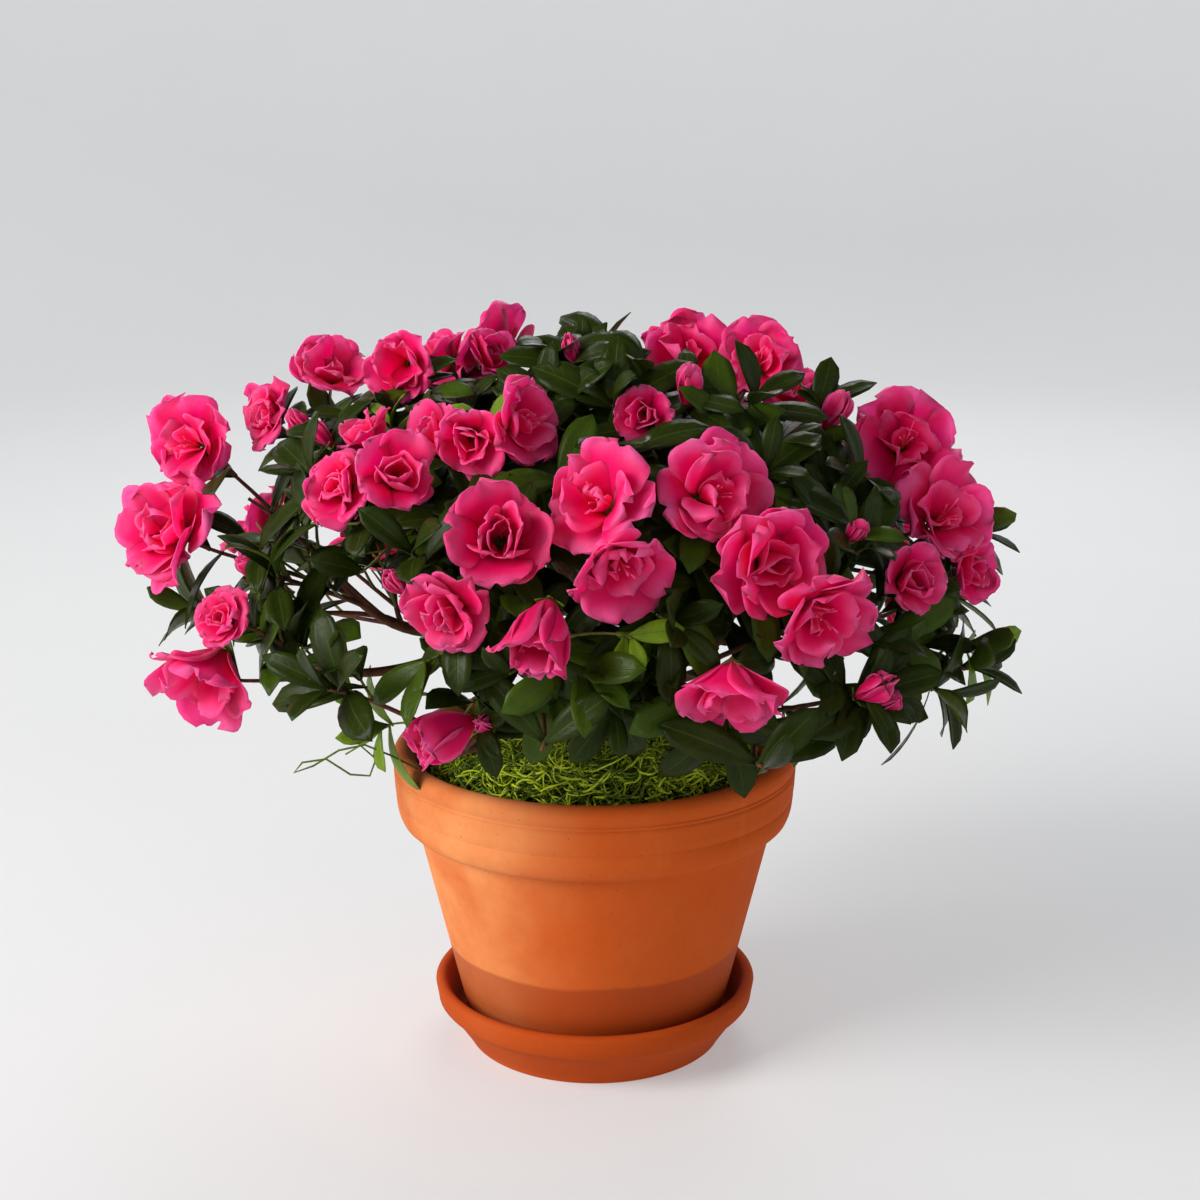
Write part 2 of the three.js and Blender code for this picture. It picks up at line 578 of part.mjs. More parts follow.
function add( name, geometry, color, roughness ) {
  const finish = new THREE.MeshStandardMaterial( { color, roughness, metalness: 0 } );
  const mesh = new THREE.Mesh( geometry, finish );
  mesh.name = name;
  azalea.add( mesh );
}

add( 'saucer', saucer(), COLOURS.saucer, 0.85 );
add( 'pot', pot(), COLOURS.clay, 0.85 );
add( 'soil', soil(), COLOURS.soil, 1 );
add( 'moss', moss(), COLOURS.moss, 0.9 );
for ( const [ name, body ] of buildLimbs() ) {
  add( name === 'stem' ? 'stem' : `bough_${ name }`, body, COLOURS.bark, 0.9 );
}
for ( const plan of plans ) add( `foliage_${ plan.mass.name }`, foliage( plan ), COLOURS.crown, 0.6 );

export default azalea;
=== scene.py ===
"""A potted azalea in full bloom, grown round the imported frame: clay pot and saucer, peat, curled moss,
bark, twigs, leaves, buds and ruffled flowers. The growing rule works in millimetres with headings about
+Z from +X (270 is the front) and rises above the horizontal; finished meshes are in metres."""

import math

import bmesh
import bpy
import numpy as np
from bpy.props import FloatProperty, FloatVectorProperty, IntProperty, PointerProperty
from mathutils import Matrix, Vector, noise


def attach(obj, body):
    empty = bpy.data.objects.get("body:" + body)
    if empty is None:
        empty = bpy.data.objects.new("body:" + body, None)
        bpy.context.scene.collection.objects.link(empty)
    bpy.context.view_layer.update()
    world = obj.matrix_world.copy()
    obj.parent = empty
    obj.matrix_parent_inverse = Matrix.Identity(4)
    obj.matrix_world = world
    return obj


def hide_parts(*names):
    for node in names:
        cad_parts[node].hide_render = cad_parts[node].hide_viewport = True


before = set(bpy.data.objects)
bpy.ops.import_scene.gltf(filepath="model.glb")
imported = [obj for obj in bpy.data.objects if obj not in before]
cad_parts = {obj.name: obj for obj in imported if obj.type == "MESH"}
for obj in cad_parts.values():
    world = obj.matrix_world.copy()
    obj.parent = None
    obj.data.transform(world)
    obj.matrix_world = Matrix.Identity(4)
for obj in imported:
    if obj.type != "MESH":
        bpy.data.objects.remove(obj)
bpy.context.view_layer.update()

bl_info = {
    "name": "Potted azalea",
    "version": (1, 0, 0),
    "blender": (4, 5, 0),
    "location": "3D View > Sidebar > Azalea",
    "description": "Grows a potted azalea with its pot, saucer, moss, bark, leaves and flowers",
    "category": "Object",
}

MM = 0.001
BODY = "root"

# ---- Sizes of the growing rule, in millimetres ----

GAP = 0.3
POT = {"stands": 8.0, "base": 64.0, "waist": 89.0, "rim": 100.0, "wall": 7.0, "floor": 8.0, "drain": 7.0,
       "band": 116.0, "lip": 155.0}
SAUCER = {"foot": 64.9, "shoulder": 76.4, "rim": 79.6, "inner": 74.8, "floor": 7.7, "step": 20.0,
          "height": 32.0}
SOIL = {"top": 140.0, "edge": 138.0}
STEM = {"flare": 15.0, "foot": 9.5, "tip": 7.0, "fork": 182.0, "lean": 5.0}
HEART = np.array((0.0, 0.0, 170.0))
CROWN = {"across": 197.0, "deep": 172.0, "high": 186.0, "shift": -8.0}
BOUGH = {"base": 3.6, "tip": 2.4, "branch": 2.9, "hub": 0.7}
TWIG = {"stem": 2.8, "stem_tip": 1.9, "thick": 1.35, "slim": 0.85, "clear": 5.0}
SHOOTS = {"outer": 60, "inner": 12, "inner_reach": 0.66, "lowest": 0.1, "flower_room": 12.0}
SKIRT = {"height": 171.0, "drop": 31.0, "within": 22.0, "front": 246.0, "spread": 32.0, "raised": 16.0}
CEILING = 366.0      # no leaf reaches higher
SKY = {"heading": 214.0, "rise": 20.0, "spread": 13.0}      # no shoot grows this near to this direction
# Openings that run through the crown from front to back: (across, height, radius) at its middle. They fan
# out from a point in front of the plant.
OPENINGS = [(-113, 225, 19), (-132, 262, 13), (-146, 236, 12), (-104, 252, 10), (-94, 202, 12),
            (-166, 276, 17), (-182, 243, 13), (128, 240, 9), (142, 222, 11), (130, 196, 11), (94, 184, 12),
            (-34, 342, 5), (-20, 214, 8), (24, 208, 8), (60, 206, 8)]
FAN_FROM = np.array((0.0, -1000.0, 488.0))
RULE_FLOWERS = {"spread": 15.0, "lowest": 9.0, "radius": 21.0, "vary": 4.0, "proud": 8.0}
GOLDEN_TURN = 137.508      # between one shoot of the rule and the next, in degrees
LEAF_TURN = 137.5          # between one leaf of a whorl and the next

WINDOW = np.array((-0.1, -0.95, 0.3))      # the light that the front flowers turn to
LIGHT = np.array((-0.1, -0.45, 0.9))       # the way that leaves turn their faces to
TURNED = {"side": 1.15, "top": 0.8, "apart": 0.75}      # how far they turn to it, and away from each other

# Finer twigs that branch off the rule's own.
FINE = {"tries": 9, "from": 0.2, "along": 0.7, "lean": 35.0, "shortest": 22.0, "longest": 52.0,
        "lowest": 3.0, "inside": 4.0, "over_skirt": 14.0, "spacing": 19.0, "flower_room": 6.0,
        "thick": 0.85, "slim": 0.5}

# Masses of foliage: name, limb that the bough grows on, how far along it, heading and rise of the middle,
# buds and flowers as (heading, rise, reach, radius), or a number of flowers placed by rule.
MASSES = [
    ("top", "stem", 0.93, 265, 82, [(250, 81, 184, 6)], []),
    ("left_tip", "stem", 0.82, 184, 29, [(194, 27, 182, 7)], [(181, 35, 237, 22), (185, 25, 227, 27)]),
    ("low_centre", "stem", 0.5, 254, 31, [(238, 32, 184, 6)],
     [(254, 40, 188, 22), (248, 29, 188, 18), (262, 27, 185, 19)]),
    ("front_right", "stem", 0.8, 300, 29, [], [(299, 35, 190, 25), (304.5, 27, 190, 22), (290, 19, 176, 17)]),
    ("right_shoulder", "stem", 0.52, 356, 42, [(354, 53, 188, 10)],
     [(1, 42, 202, 25), (351, 32, 198, 24), (354, 23, 198, 15)]),
    ("back_left", "stem", 0.5, 135, 40, [], 3),
    ("back_right", "stem", 0.84, 42, 40, [], 3),
    ("left_low", "left_tip", 0.5, 203, 15, [], [(203, 20, 196, 14), (200, 11, 194, 25)]),
    ("left_crown", "left_tip", 0.68, 179, 49, [(184, 46, 200, 7), (200, 48, 196, 6)],
     [(178, 43, 216, 17), (174, 53, 212, 20)]),
    ("left_top", "top", 0.45, 168, 68, [], [(182, 62, 196, 13), (164, 67, 195, 12), (158, 73, 184, 14)]),
    ("left_face", "low_centre", 0.66, 223, 48, [],
     [(213, 51, 196, 15), (220, 42, 198, 17), (231, 46, 195, 17)]),
    ("face_top", "top", 0.6, 247, 58, [], [(229, 55, 190, 14), (241, 54, 190, 16), (251, 60, 186, 19)]),
    ("pot_edge", "low_centre", 0.45, 238, 6, [(248, 14, 130, 6)], [(240, 11, 135, 16)]),
    ("front", "front_right", 0.62, 279, 45, [],
     [(270, 46, 187, 23), (274, 36, 188, 22), (293, 46, 188, 24)]),
    ("right_low", "front_right", 0.45, 314, 10, [(312, 16, 184, 9), (315, 14, 178, 8)], []),
    ("right_face", "right_shoulder", 0.45, 322, 42, [(320, 37, 186, 6)], []),
    ("right_tip", "right_shoulder", 0.64, 345, 20, [], [(329, 28, 188, 15)]),
    ("top_right", "top", 0.75, 350, 70, [(307, 67, 182, 9)],
     [(30, 73, 183, 21), (9, 65, 190, 19), (286, 64, 180, 12)]),
    ("back_top", "top", 0.32, 95, 60, [], 2),
    ("back_low_left", "back_left", 0.5, 146, 12, [], 3),
    ("back_low", "back_left", 0.68, 92, 14, [], 3),
    ("back_low_right", "back_right", 0.5, 35, 12, [], 3),
]
# Forms of the flowers on some masses, in the order of their twigs. The dice deal the others.
FLOWER_FORMS = {
    "pot_edge": ["trumpet"], "front_right": ["double", "loose", "bell"], "front": ["loose", "loose", "loose"],
    "low_centre": ["cup", "double", "trumpet"], "left_face": ["cup", "double", "cup"],
    "face_top": ["cup", "cup", "loose"], "left_low": ["double", "bell"], "left_tip": ["loose", "double"],
    "right_shoulder": ["loose", "loose"], "left_top": ["bell", "cup", "cup"], "top_right": ["loose", "loose"]}
# Painted light and shade of the flowers on some masses: 0 rose, 1 bright for flowers in the light, 2 deep for
# those in shade, one petal colour scaled. The others are dealt by the dice.
FLOWER_PAINTED_LIGHT = {"front": 1, "front_right": 0, "low_centre": 2, "left_tip": 1, "right_shoulder": 0,
                 "left_crown": 0, "face_top": 0, "left_face": 1, "left_low": 0, "pot_edge": 1, "right_tip": 2}
# Flowers that hang, or face a way of their own: the (heading, rise) that each one in a mass's list faces.
NODDING = {
    "pot_edge": [(208, -26)], "left_low": [None, (232, -56)], "left_tip": [(238, 30), (246, 8)],
    "front_right": [(276, 12), (302, -28), (262, -52)], "front": [(232, 22), (262, -26), (292, 26)],
    "low_centre": [(272, 22), (244, -4), (258, -52)], "right_shoulder": [(292, 32), (312, 12)],
    "top_right": [(262, 40), (285, 36)]}
# Sprays of leaves beyond the rule's: mass, heading, rise and reach of the spray, the heading and rise that it
# faces, its leaves, their length and their shade.
SPRAYS = [
    ("right_tip", 358, 27, 204, 356, 8, 6, 42, "deep"), ("right_tip", 350, 13, 190, 350, -22, 6, 40, "young"),
    ("right_low", 335, 10, 180, 325, -30, 6, 42, "deep"), ("pot_edge", 206, 3, 114, 236, -24, 6, 36, "young"),
    ("left_low", 198, 19, 156, 230, 55, 6, 50, "mid"), ("low_centre", 276, 28, 168, 270, 4, 6, 28, "young"),
    ("pot_edge", 246, 13, 128, 262, -8, 7, 34, "deep"), ("low_centre", 274, 18, 132, 274, -10, 7, 42, "deep"),
    ("front_right", 300, 12, 124, 286, -22, 6, 46, "deep"),
    ("right_low", 326, 9, 112, 322, -44, 5, 42, "mid"), ("low_centre", 262, 20, 140, 262, 0, 6, 38, "mid"),
    ("left_low", 196, 17, 140, 300, 12, 3, 34, "young"), ("top", 262, 80, 176, 250, 72, 6, 42, "deep")]


# ---- Small helpers ----

def srgb(red, green, blue):
    """A colour given in bytes as the screen shows it, as linear light."""
    light = (((c / 255 + 0.055) / 1.055) ** 2.4 if c > 10 else c / 3295 for c in (red, green, blue))
    return (*light, 1.0)


def unit(way):
    return way / np.linalg.norm(way)


def dice(seed):
    """A repeatable stream of numbers from 0 to 1, the same one as the source's."""
    state = seed

    def roll():
        nonlocal state
        state = state * 16807 % 2147483647
        return state / 2147483647
    return roll


def direction(heading, rise):
    level = math.cos(math.radians(rise))
    turn = math.radians(heading)
    return np.array((level * math.cos(turn), level * math.sin(turn), math.sin(math.radians(rise))))


def from_heart(heading, rise, reach):
    return HEART + direction(heading, rise) * reach


def sides_of(axis):
    """Two directions square to an axis, and to each other."""
    guide = np.array((1.0, 0, 0)) if abs(axis[2]) > 0.9 else np.array((0, 0, 1.0))
    across = unit(np.cross(guide, axis))
    return across, np.cross(axis, across)


class Path:
    """A Bezier curve through its controls, read by its parameter or by its share of the length."""

    STEPS = 60

    def __init__(self, *controls):
        self.controls = [np.asarray(c, float) for c in controls]
        self.line = np.array([self.point(t) for t in np.linspace(0, 1, self.STEPS + 1)])
        self.run = np.concatenate([[0], np.cumsum(np.linalg.norm(np.diff(self.line, axis=0), axis=1))])
        self.length = self.run[-1]

    def span(self, t):
        """The last two points of de Casteljau's ladder at t: the curve's point divides them at t."""
        ladder = self.controls
        while len(ladder) > 2:
            ladder = [a + (b - a) * t for a, b in zip(ladder, ladder[1:])]
        return ladder

    def point(self, t):
        a, b = self.span(t)
        return a + (b - a) * t

    def way(self, t):
        a, b = self.span(t)
        return unit(b - a)

    def at_share(self, share):
        return float(np.interp(share * self.length, self.run, np.linspace(0, 1, self.STEPS + 1)))

    def along(self, share):
        return self.point(self.at_share(share))

    def sample(self, start=0.0, count=8):
        return np.array([self.point(start + (1 - start) * i / count) for i in range(count + 1)])

    def frames(self, shares):
        """Points, ways, sides and ups along the curve, carried without twist."""
        points = [self.along(s) for s in shares]
        ways = [self.way(self.at_share(s)) for s in shares]
        side = sides_of(ways[0])[0]
        sides = []
        for way in ways:
            side = unit(side - way * side.dot(way))
            sides.append(side)
        return [np.array(x) for x in (points, ways, sides, np.cross(ways, sides))]


def closest(points, p):
    return np.sqrt(((points - p) ** 2).sum(1).min())


def entry(table, name, number):
    """What a table says of a mass's flower by its number, or None."""
    row = table.get(name, ())
    return row[number] if number < len(row) else None


def between(low, high, share):
    return low + (high - low) * share


# ---- Plan of the plant: limbs, masses, twigs and what they carry ----

def dome_reach(heading, rise):
    """The reach of the crown's dome in a direction."""
    way = direction(heading, rise)
    across, deep, high, shift = (CROWN[k] for k in ("across", "deep", "high", "shift"))
    a = (way[0] / across) ** 2 + (way[1] / deep) ** 2 + (way[2] / high) ** 2
    b = -shift * way[0] / across ** 2
    c = (shift / across) ** 2 - 1
    return (-b + math.sqrt(b * b - a * c)) / a


def mass_centre(mass):
    heading, rise = mass[3], mass[4]
    return from_heart(heading, rise, dome_reach(heading, rise) * BOUGH["hub"])


def stem_radius(share):
    """A flare at the foot, then a slow taper to the fork."""
    return between(STEM["foot"], STEM["tip"], share) + (STEM["flare"] - STEM["foot"]) * (1 - share) ** 6


def plan_limbs():
    """The stem and every bough as (path, radius at a share)."""
    foot = SOIL["top"] + GAP
    limbs = {"stem": (Path((0, 0, foot), (0, 0, (SOIL["top"] + STEM["fork"]) / 2),
                           (STEM["lean"], 0, STEM["fork"])), stem_radius)}
    for mass in sorted(MASSES, key=lambda row: row[1] != "stem"):
        name, on, share, _, rise = mass[:5]
        main = on == "stem"
        start = limbs[on][0].along(share)
        end = start + (mass_centre(mass) - start) * (0.6 if main else 0.5)
        bend = start + (end - start) * 0.45
        bend[2] += (0.35 if main else 0.12) * np.linalg.norm(end - start) * math.cos(math.radians(rise))
        base = BOUGH["base"] if main else BOUGH["branch"]
        limbs[name] = (Path(start, bend, end), lambda s, base=base: between(base, BOUGH["tip"], s))
    return limbs


def place(kind, heading, rise, reach, radius, faces=None, turned_by=0.0):
    """Something at the end of a twig. A flower turns a little to the window side, unless it faces a way of
    its own."""
    out = direction(heading, rise)
    return {"kind": kind, "point": HEART + out * reach, "out": out, "radius": radius,
            "faces": direction(*faces) if faces else unit(out + WINDOW * turned_by)}


def rule_flowers(mass, index):
    """Flowers placed by rule round the middle of a mass."""
    _, _, _, heading, rise, _, count = mass
    found = []
    for i in range(count):
        roll = dice(4001 + 97 * index + 13 * i)
        turn = math.radians(360 * (i + 0.4 * roll()) / count + 40 * index)
        up = max(RULE_FLOWERS["lowest"], rise + RULE_FLOWERS["spread"] * math.sin(turn))
        round_by = heading + RULE_FLOWERS["spread"] * math.cos(turn) / math.cos(math.radians(rise))
        radius = RULE_FLOWERS["radius"] + RULE_FLOWERS["vary"] * (2 * roll() - 1)
        found.append((round_by, up, dome_reach(round_by, up) + RULE_FLOWERS["proud"], radius))
    return found


def plan_sites():
    """Where each mass's twigs grow to: flowers, buds, and shoots that end in a whorl of leaves."""
    sites = []
    for index, mass in enumerate(MASSES):
        listed = isinstance(mass[6], list)
        flowers = mass[6] if listed else rule_flowers(mass, index)
        group = []
        for i, flower in enumerate(flowers):
            steep = math.sin(math.radians(flower[1])) ** 2
            turned_by = TURNED["side"] + TURNED["top"] * steep if listed else 0.0
            group.append(place("flower", *flower, entry(NODDING, mass[0], i), turned_by))
        if group:
            middle = np.mean([flower["point"] for flower in group], axis=0)
        for i, flower in enumerate(group):
            if not entry(NODDING, mass[0], i) and len(group) > 1:
                flower["faces"] = unit(flower["faces"] + TURNED["apart"] * unit(flower["point"] - middle))
        sites.append(group + [place("bud", *b) for b in mass[5]])
    flowers = [s for group in sites for s in group if s["kind"] == "flower"]
    centres = np.array([mass_centre(mass) for mass in MASSES])
    for count, share, turn in ((SHOOTS["outer"], 1, 20), (SHOOTS["inner"], SHOOTS["inner_reach"], 75)):
        for i in range(count):
            rise = math.degrees(math.asin(SHOOTS["lowest"] + (1 - SHOOTS["lowest"]) * (i + 0.5) / count))
            heading = (turn + GOLDEN_TURN * i) % 360
            shoot = place("shoot", heading, rise, dome_reach(heading, rise) * share, 0)
            crowded = any(np.linalg.norm(f["point"] - shoot["point"]) < f["radius"] + SHOOTS["flower_room"]
                          for f in flowers)
            if not in_sky(heading, rise) and not crowded:
                sites[int(np.linalg.norm(centres - shoot["point"], axis=1).argmin())].append(shoot)
    return sites


def in_sky(heading, rise):
    return math.hypot(heading - SKY["heading"], rise - SKY["rise"]) < SKY["spread"]


def twig_path(stem, share, site):
    """From the mass's stem to a site, arriving the way that the site faces."""
    start = stem.point(share)
    back = 0.45 * site["radius"] if site["kind"] == "flower" else 0
    out = site["out"]
    end = site["point"] - out * back
    length = np.linalg.norm(end - start)
    leave = unit(unit(end - start) + stem.way(share) * 0.4)
    return Path(start, start + leave * length * 0.3, end - out * length * 0.3, end)


def plan_masses(limbs):
    """Every mass: its stem, its twigs, and the points of both, by the source's rule."""
    sites = plan_sites()
    plans = []
    for index, mass in enumerate(MASSES):
        path = limbs[mass[0]][0]
        way = path.way(1)
        centre = mass_centre(mass)
        start = path.point(1) + way * GAP
        bend = start + way * 0.5 * np.linalg.norm(centre - start)
        stem = Path(start, bend, centre)
        plans.append({"index": index, "name": mass[0], "stem": stem, "twigs": [], "points": stem.sample()})
    wood = np.concatenate([path.sample() for path, _ in limbs.values()])
    for plan in plans:
        group = sites[plan["index"]]
        for order, site in enumerate(group):
            for step in (0, 0.5, 0.25, 0.75):
                path = twig_path(plan["stem"], 1 - 0.75 * ((order / len(group) + step) % 1), site)
                points = path.sample(0.15)
                others = np.concatenate([wood] + [other["points"] for other in plans if other is not plan])
                if all(closest(others, p) > TWIG["clear"] for p in points):
                    plan["twigs"].append((path, site))
                    plan["points"] = np.concatenate([plan["points"], points, [site["point"]]])
                    break
    return plans


def over_skirt(points, slack=0.0):
    """True where points lie above the skirt: a hollow bell that starts at the pot's rim, is steep at first
    and then flattens, and is raised in front of the moss."""
    past = np.maximum(0, np.hypot(points[:, 0], points[:, 1]) - POT["rim"])
    turn = np.degrees(np.arctan2(points[:, 1], points[:, 0])) % 360
    front = np.clip(1.6 - np.abs(turn - SKIRT["front"]) / SKIRT["spread"], 0, 1) * SKIRT["raised"]
    lowest = SKIRT["height"] + SKIRT["drop"] * (1 - np.exp(-past / SKIRT["within"]))
    return (points[:, 2] >= lowest - slack + front).all()


def clear_of_pot(points):
    """True where points lie outside the rim or above it."""
    return ((np.hypot(points[:, 0], points[:, 1]) > POT["rim"] + 2) | (points[:, 2] > POT["lip"] + 2)).all()


def plan_fine(plans, blooms):
    """Finer twigs that branch off the rule's twigs, each ending in a shoot that keeps its distance from
    every other shoot and flower, inside the dome."""
    rng = np.random.default_rng(52)
    taken = [site["point"] for plan in plans for _, site in plan["twigs"] if site["kind"] != "flower"]
    found = []
    for plan in plans:
        for path, site in plan["twigs"]:
            for i in range(FINE["tries"]):
                share = FINE["from"] + FINE["along"] * (i + rng.random()) / FINE["tries"]
                start, way = path.along(share), path.way(path.at_share(share))
                across, along = sides_of(way)
                turn = math.radians(LEAF_TURN * i) + rng.random()
                lean = math.radians(FINE["lean"] + FINE["lean"] * rng.random())
                side = across * math.cos(turn) + along * math.sin(turn)
                length = between(FINE["shortest"], FINE["longest"], rng.random())
                outward = unit(start + way * length - HEART)
                aim = unit(way * math.cos(lean) + side * math.sin(lean) + outward * 0.35)
                end = start + aim * length
                from_here = end - HEART
                reach = np.linalg.norm(from_here)
                rise = math.degrees(math.asin(from_here[2] / reach))
                heading = math.degrees(math.atan2(from_here[1], from_here[0])) % 360
                if rise < FINE["lowest"] or in_sky(heading, rise):
                    continue
                if reach > dome_reach(heading, rise) - FINE["inside"]:
                    continue
                if not over_skirt(end[None] - (0, 0, FINE["over_skirt"])):
                    continue
                if closest(np.array(taken), end) < FINE["spacing"]:
                    continue
                if (np.linalg.norm(blooms[0] - end, axis=1) < blooms[1] + FINE["flower_room"]).any():
                    continue
                taken.append(end)
                arrive = unit(aim + outward * 0.5)
                fine = Path(start, start + unit(way + aim) * length * 0.35, end - arrive * length * 0.3, end)
                found.append((fine, {"kind": "shoot", "point": end, "out": arrive, "radius": 0}))
    return found


SHORTEST_SPRAY = 20


def plan_sprays(plans):
    """The sprays beyond the rule's, each on a twig from the nearest wood of its mass."""
    found = []
    for name, heading, rise, reach, faces, lifts, count, length, shade in SPRAYS:
        plan = next(plan for plan in plans if plan["name"] == name)
        end = from_heart(heading, rise, reach)
        far = np.linalg.norm(plan["points"] - end, axis=1)
        start = plan["points"][np.argmin(np.where(far < SHORTEST_SPRAY, np.inf, far))]
        out = direction(faces, lifts)
        path = Path(start, start + (end - start) * 0.4 + (0, 0, 6), end - out * 12, end)
        found.append((path, {"kind": "spray", "point": end, "out": out, "radius": 0, "count": count,
                             "length": length, "shade": shade}))
    return found


class Plant:
    """The whole plan, worked out once."""

    def __init__(self):
        self.limbs = plan_limbs()
        self.masses = plan_masses(self.limbs)
        flowers = [site for plan in self.masses for _, site in plan["twigs"] if site["kind"] == "flower"]
        self.blooms = [np.array([flower[key] for flower in flowers]) for key in ("point", "radius", "faces")]
        self.fine = plan_fine(self.masses, self.blooms)
        self.sprays = plan_sprays(self.masses)


_plans = {}


def plant():
    if "plant" not in _plans:
        _plans["plant"] = Plant()
    return _plans["plant"]


# ---- Meshes ----

def sheet_grid(columns, rows):
    """Corners (across from -1 to 1, along from 0 to 1) and faces of a flat grid."""
    bm = bmesh.new()
    bmesh.ops.create_grid(bm, x_segments=columns, y_segments=rows, size=1)
    bmesh.ops.reverse_faces(bm, faces=bm.faces)      # across and along change places on a leaf or a petal
    corners = np.array([v.co[:2] for v in bm.verts])
    faces = np.array([[v.index for v in f.verts] for f in bm.faces])
    bm.free()
    return corners[:, 0], (corners[:, 1] + 1) / 2, faces


def linked(name, data, materials=()):
    """A new object in the scene, with its materials."""
    for material in materials:
        data.materials.append(material)
    made = bpy.data.objects.new(name, data)
    bpy.context.scene.collection.objects.link(made)
    return made


def finish_piece(piece, slot, *nodes):
    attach(piece, BODY)
    if nodes:
        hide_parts(*nodes)


def sheets(name, grown, shade, materials, thickness, *nodes):
    """One piece of all the leaves or petals of a shade. Each sheet gets a second face below the first, in
    the last of the materials, and a rim, so that it is closed."""
    copies = [copy for copy, number in zip(grown.copies, grown.shades) if number == shade]
    firsts = len(copies[0]) * np.arange(len(copies))
    faces = (grown.faces[None] + firsts[:, None, None]).reshape(-1, grown.faces.shape[1])
    mesh = bpy.data.meshes.new(name)
    mesh.from_pydata((np.concatenate(copies) * MM).tolist(), [], faces.tolist())
    uv = np.tile(grown.uv, (len(copies), 1))[faces.ravel()]
    mesh.uv_layers.new(name="blade").data.foreach_set("uv", uv.astype(np.float32).ravel())
    mesh.polygons.foreach_set("use_smooth", np.ones(len(faces), bool))
    piece = linked(name, mesh, materials)
    wall = piece.modifiers.new("thickness", "SOLIDIFY")
    wall.thickness = thickness * MM
    wall.offset = -1
    wall.material_offset = len(materials) - 1
    wall.use_even_offset = False
    finish_piece(piece, "foliage", *nodes)


def evaluated(piece):
    """The mesh that an object shows. The object itself is removed."""
    bpy.context.view_layer.update()
    mesh = bpy.data.meshes.new_from_object(piece.evaluated_get(bpy.context.evaluated_depsgraph_get()))
    bpy.data.objects.remove(piece)
    return mesh


def strands(name, lines, radii, resolution, material):
    """Round strands along lines of points in millimetres, with a radius at each point."""
    curve = bpy.data.curves.new(name, "CURVE")
    curve.dimensions = "3D"
    curve.bevel_depth = MM
    curve.bevel_resolution = resolution
    curve.use_fill_caps = True
    for line, radius in zip(lines, radii):
        spline = curve.splines.new("POLY")
        spline.points.add(len(line) - 1)
        spline.points.foreach_set("co", np.column_stack([line * MM, np.ones(len(line))]).ravel())
        spline.points.foreach_set("radius", np.broadcast_to(radius, len(line)).astype(float))
        spline.use_smooth = True
    mesh = evaluated(linked(name, curve, [material]))
    mesh.name = name
    bm = bmesh.new()
    bm.from_mesh(mesh)
    bmesh.ops.remove_doubles(bm, verts=bm.verts, dist=MM * 0.001)
    bmesh.ops.recalc_face_normals(bm, faces=bm.faces)
    bm.to_mesh(mesh)
    bm.free()
    return linked(name, mesh)


def piece_from(bm, name, material):
    for face in bm.faces:
        face.smooth = True
    mesh = bpy.data.meshes.new(name)
    bm.to_mesh(mesh)
    bm.free()
    return linked(name, mesh, [material])


def spun(profile, steps, size=MM):
    """Points of (radius, height), times a size, spun about +Z. A profile that starts off the axis is
    closed first."""
    bm = bmesh.new()
    ring = [bm.verts.new((radius * size, 0, height * size)) for radius, height in profile]
    edges = [bm.edges.new(pair) for pair in zip(ring, ring[1:])]
    if profile[0][0] > 0:
        edges.append(bm.edges.new((ring[-1], ring[0])))
    bmesh.ops.spin(bm, geom=ring + edges, axis=(0, 0, 1), cent=(0, 0, 0), dvec=(0, 0, 0),
                   angle=math.tau, steps=steps, use_merge=True, use_duplicate=False)
    bmesh.ops.remove_doubles(bm, verts=bm.verts, dist=size * 0.01)
    bmesh.ops.recalc_face_normals(bm, faces=bm.faces)
    return bm


def arc(centre, radius, start, end, steps):
    """Points of an arc in the plane of a profile, angles in degrees."""
    angles = [math.radians(start + (end - start) * i / steps) for i in range(steps + 1)]
    return [(centre[0] + radius * math.cos(a), centre[1] + radius * math.sin(a)) for a in angles]


# ---- Materials ----

def add_node(tree, kind, inputs=None, **settings):
    made = tree.nodes.new(kind)
    for key, value in settings.items():
        setattr(made, key, value)
    for key, value in (inputs or {}).items():
        if isinstance(value, bpy.types.NodeSocket):
            tree.links.new(value, made.inputs[key])
        else:
            made.inputs[key].default_value = value
    return made


def mixed(tree, factor, first, second):
    """A colour between two, by a factor."""
    made = add_node(tree, "ShaderNodeMix", {0: factor, 6: first, 7: second}, data_type="RGBA")
    return made.outputs[2]


def sums(tree, operation, first, second=0.0, clamp=False):
    made = add_node(tree, "ShaderNodeMath", {0: first, 1: second}, operation=operation, use_clamp=clamp)
    return made.outputs[0]


def times(tree, first, second):
    return sums(tree, "MULTIPLY", first, second)


def plus(tree, first, second, clamp=False):
    return sums(tree, "ADD", first, second, clamp)


def minus(tree, first, second):
    return sums(tree, "SUBTRACT", first, second)


def ranged(tree, value, low, high, to_low=0.0, to_high=1.0):
    """A smooth step between two numbers while the value goes from low to high."""
    made = add_node(tree, "ShaderNodeMapRange", {0: value, 1: low, 2: high, 3: to_low, 4: to_high},
                    interpolation_type="SMOOTHSTEP")
    return made.outputs[0]


def cloud(tree, vector, scale, detail=4.0, roughness=0.55, distortion=0.0):
    made = add_node(tree, "ShaderNodeTexNoise", {"Vector": vector, "Scale": scale, "Detail": detail,
                                                 "Roughness": roughness, "Distortion": distortion})
    return made.outputs["Fac"]


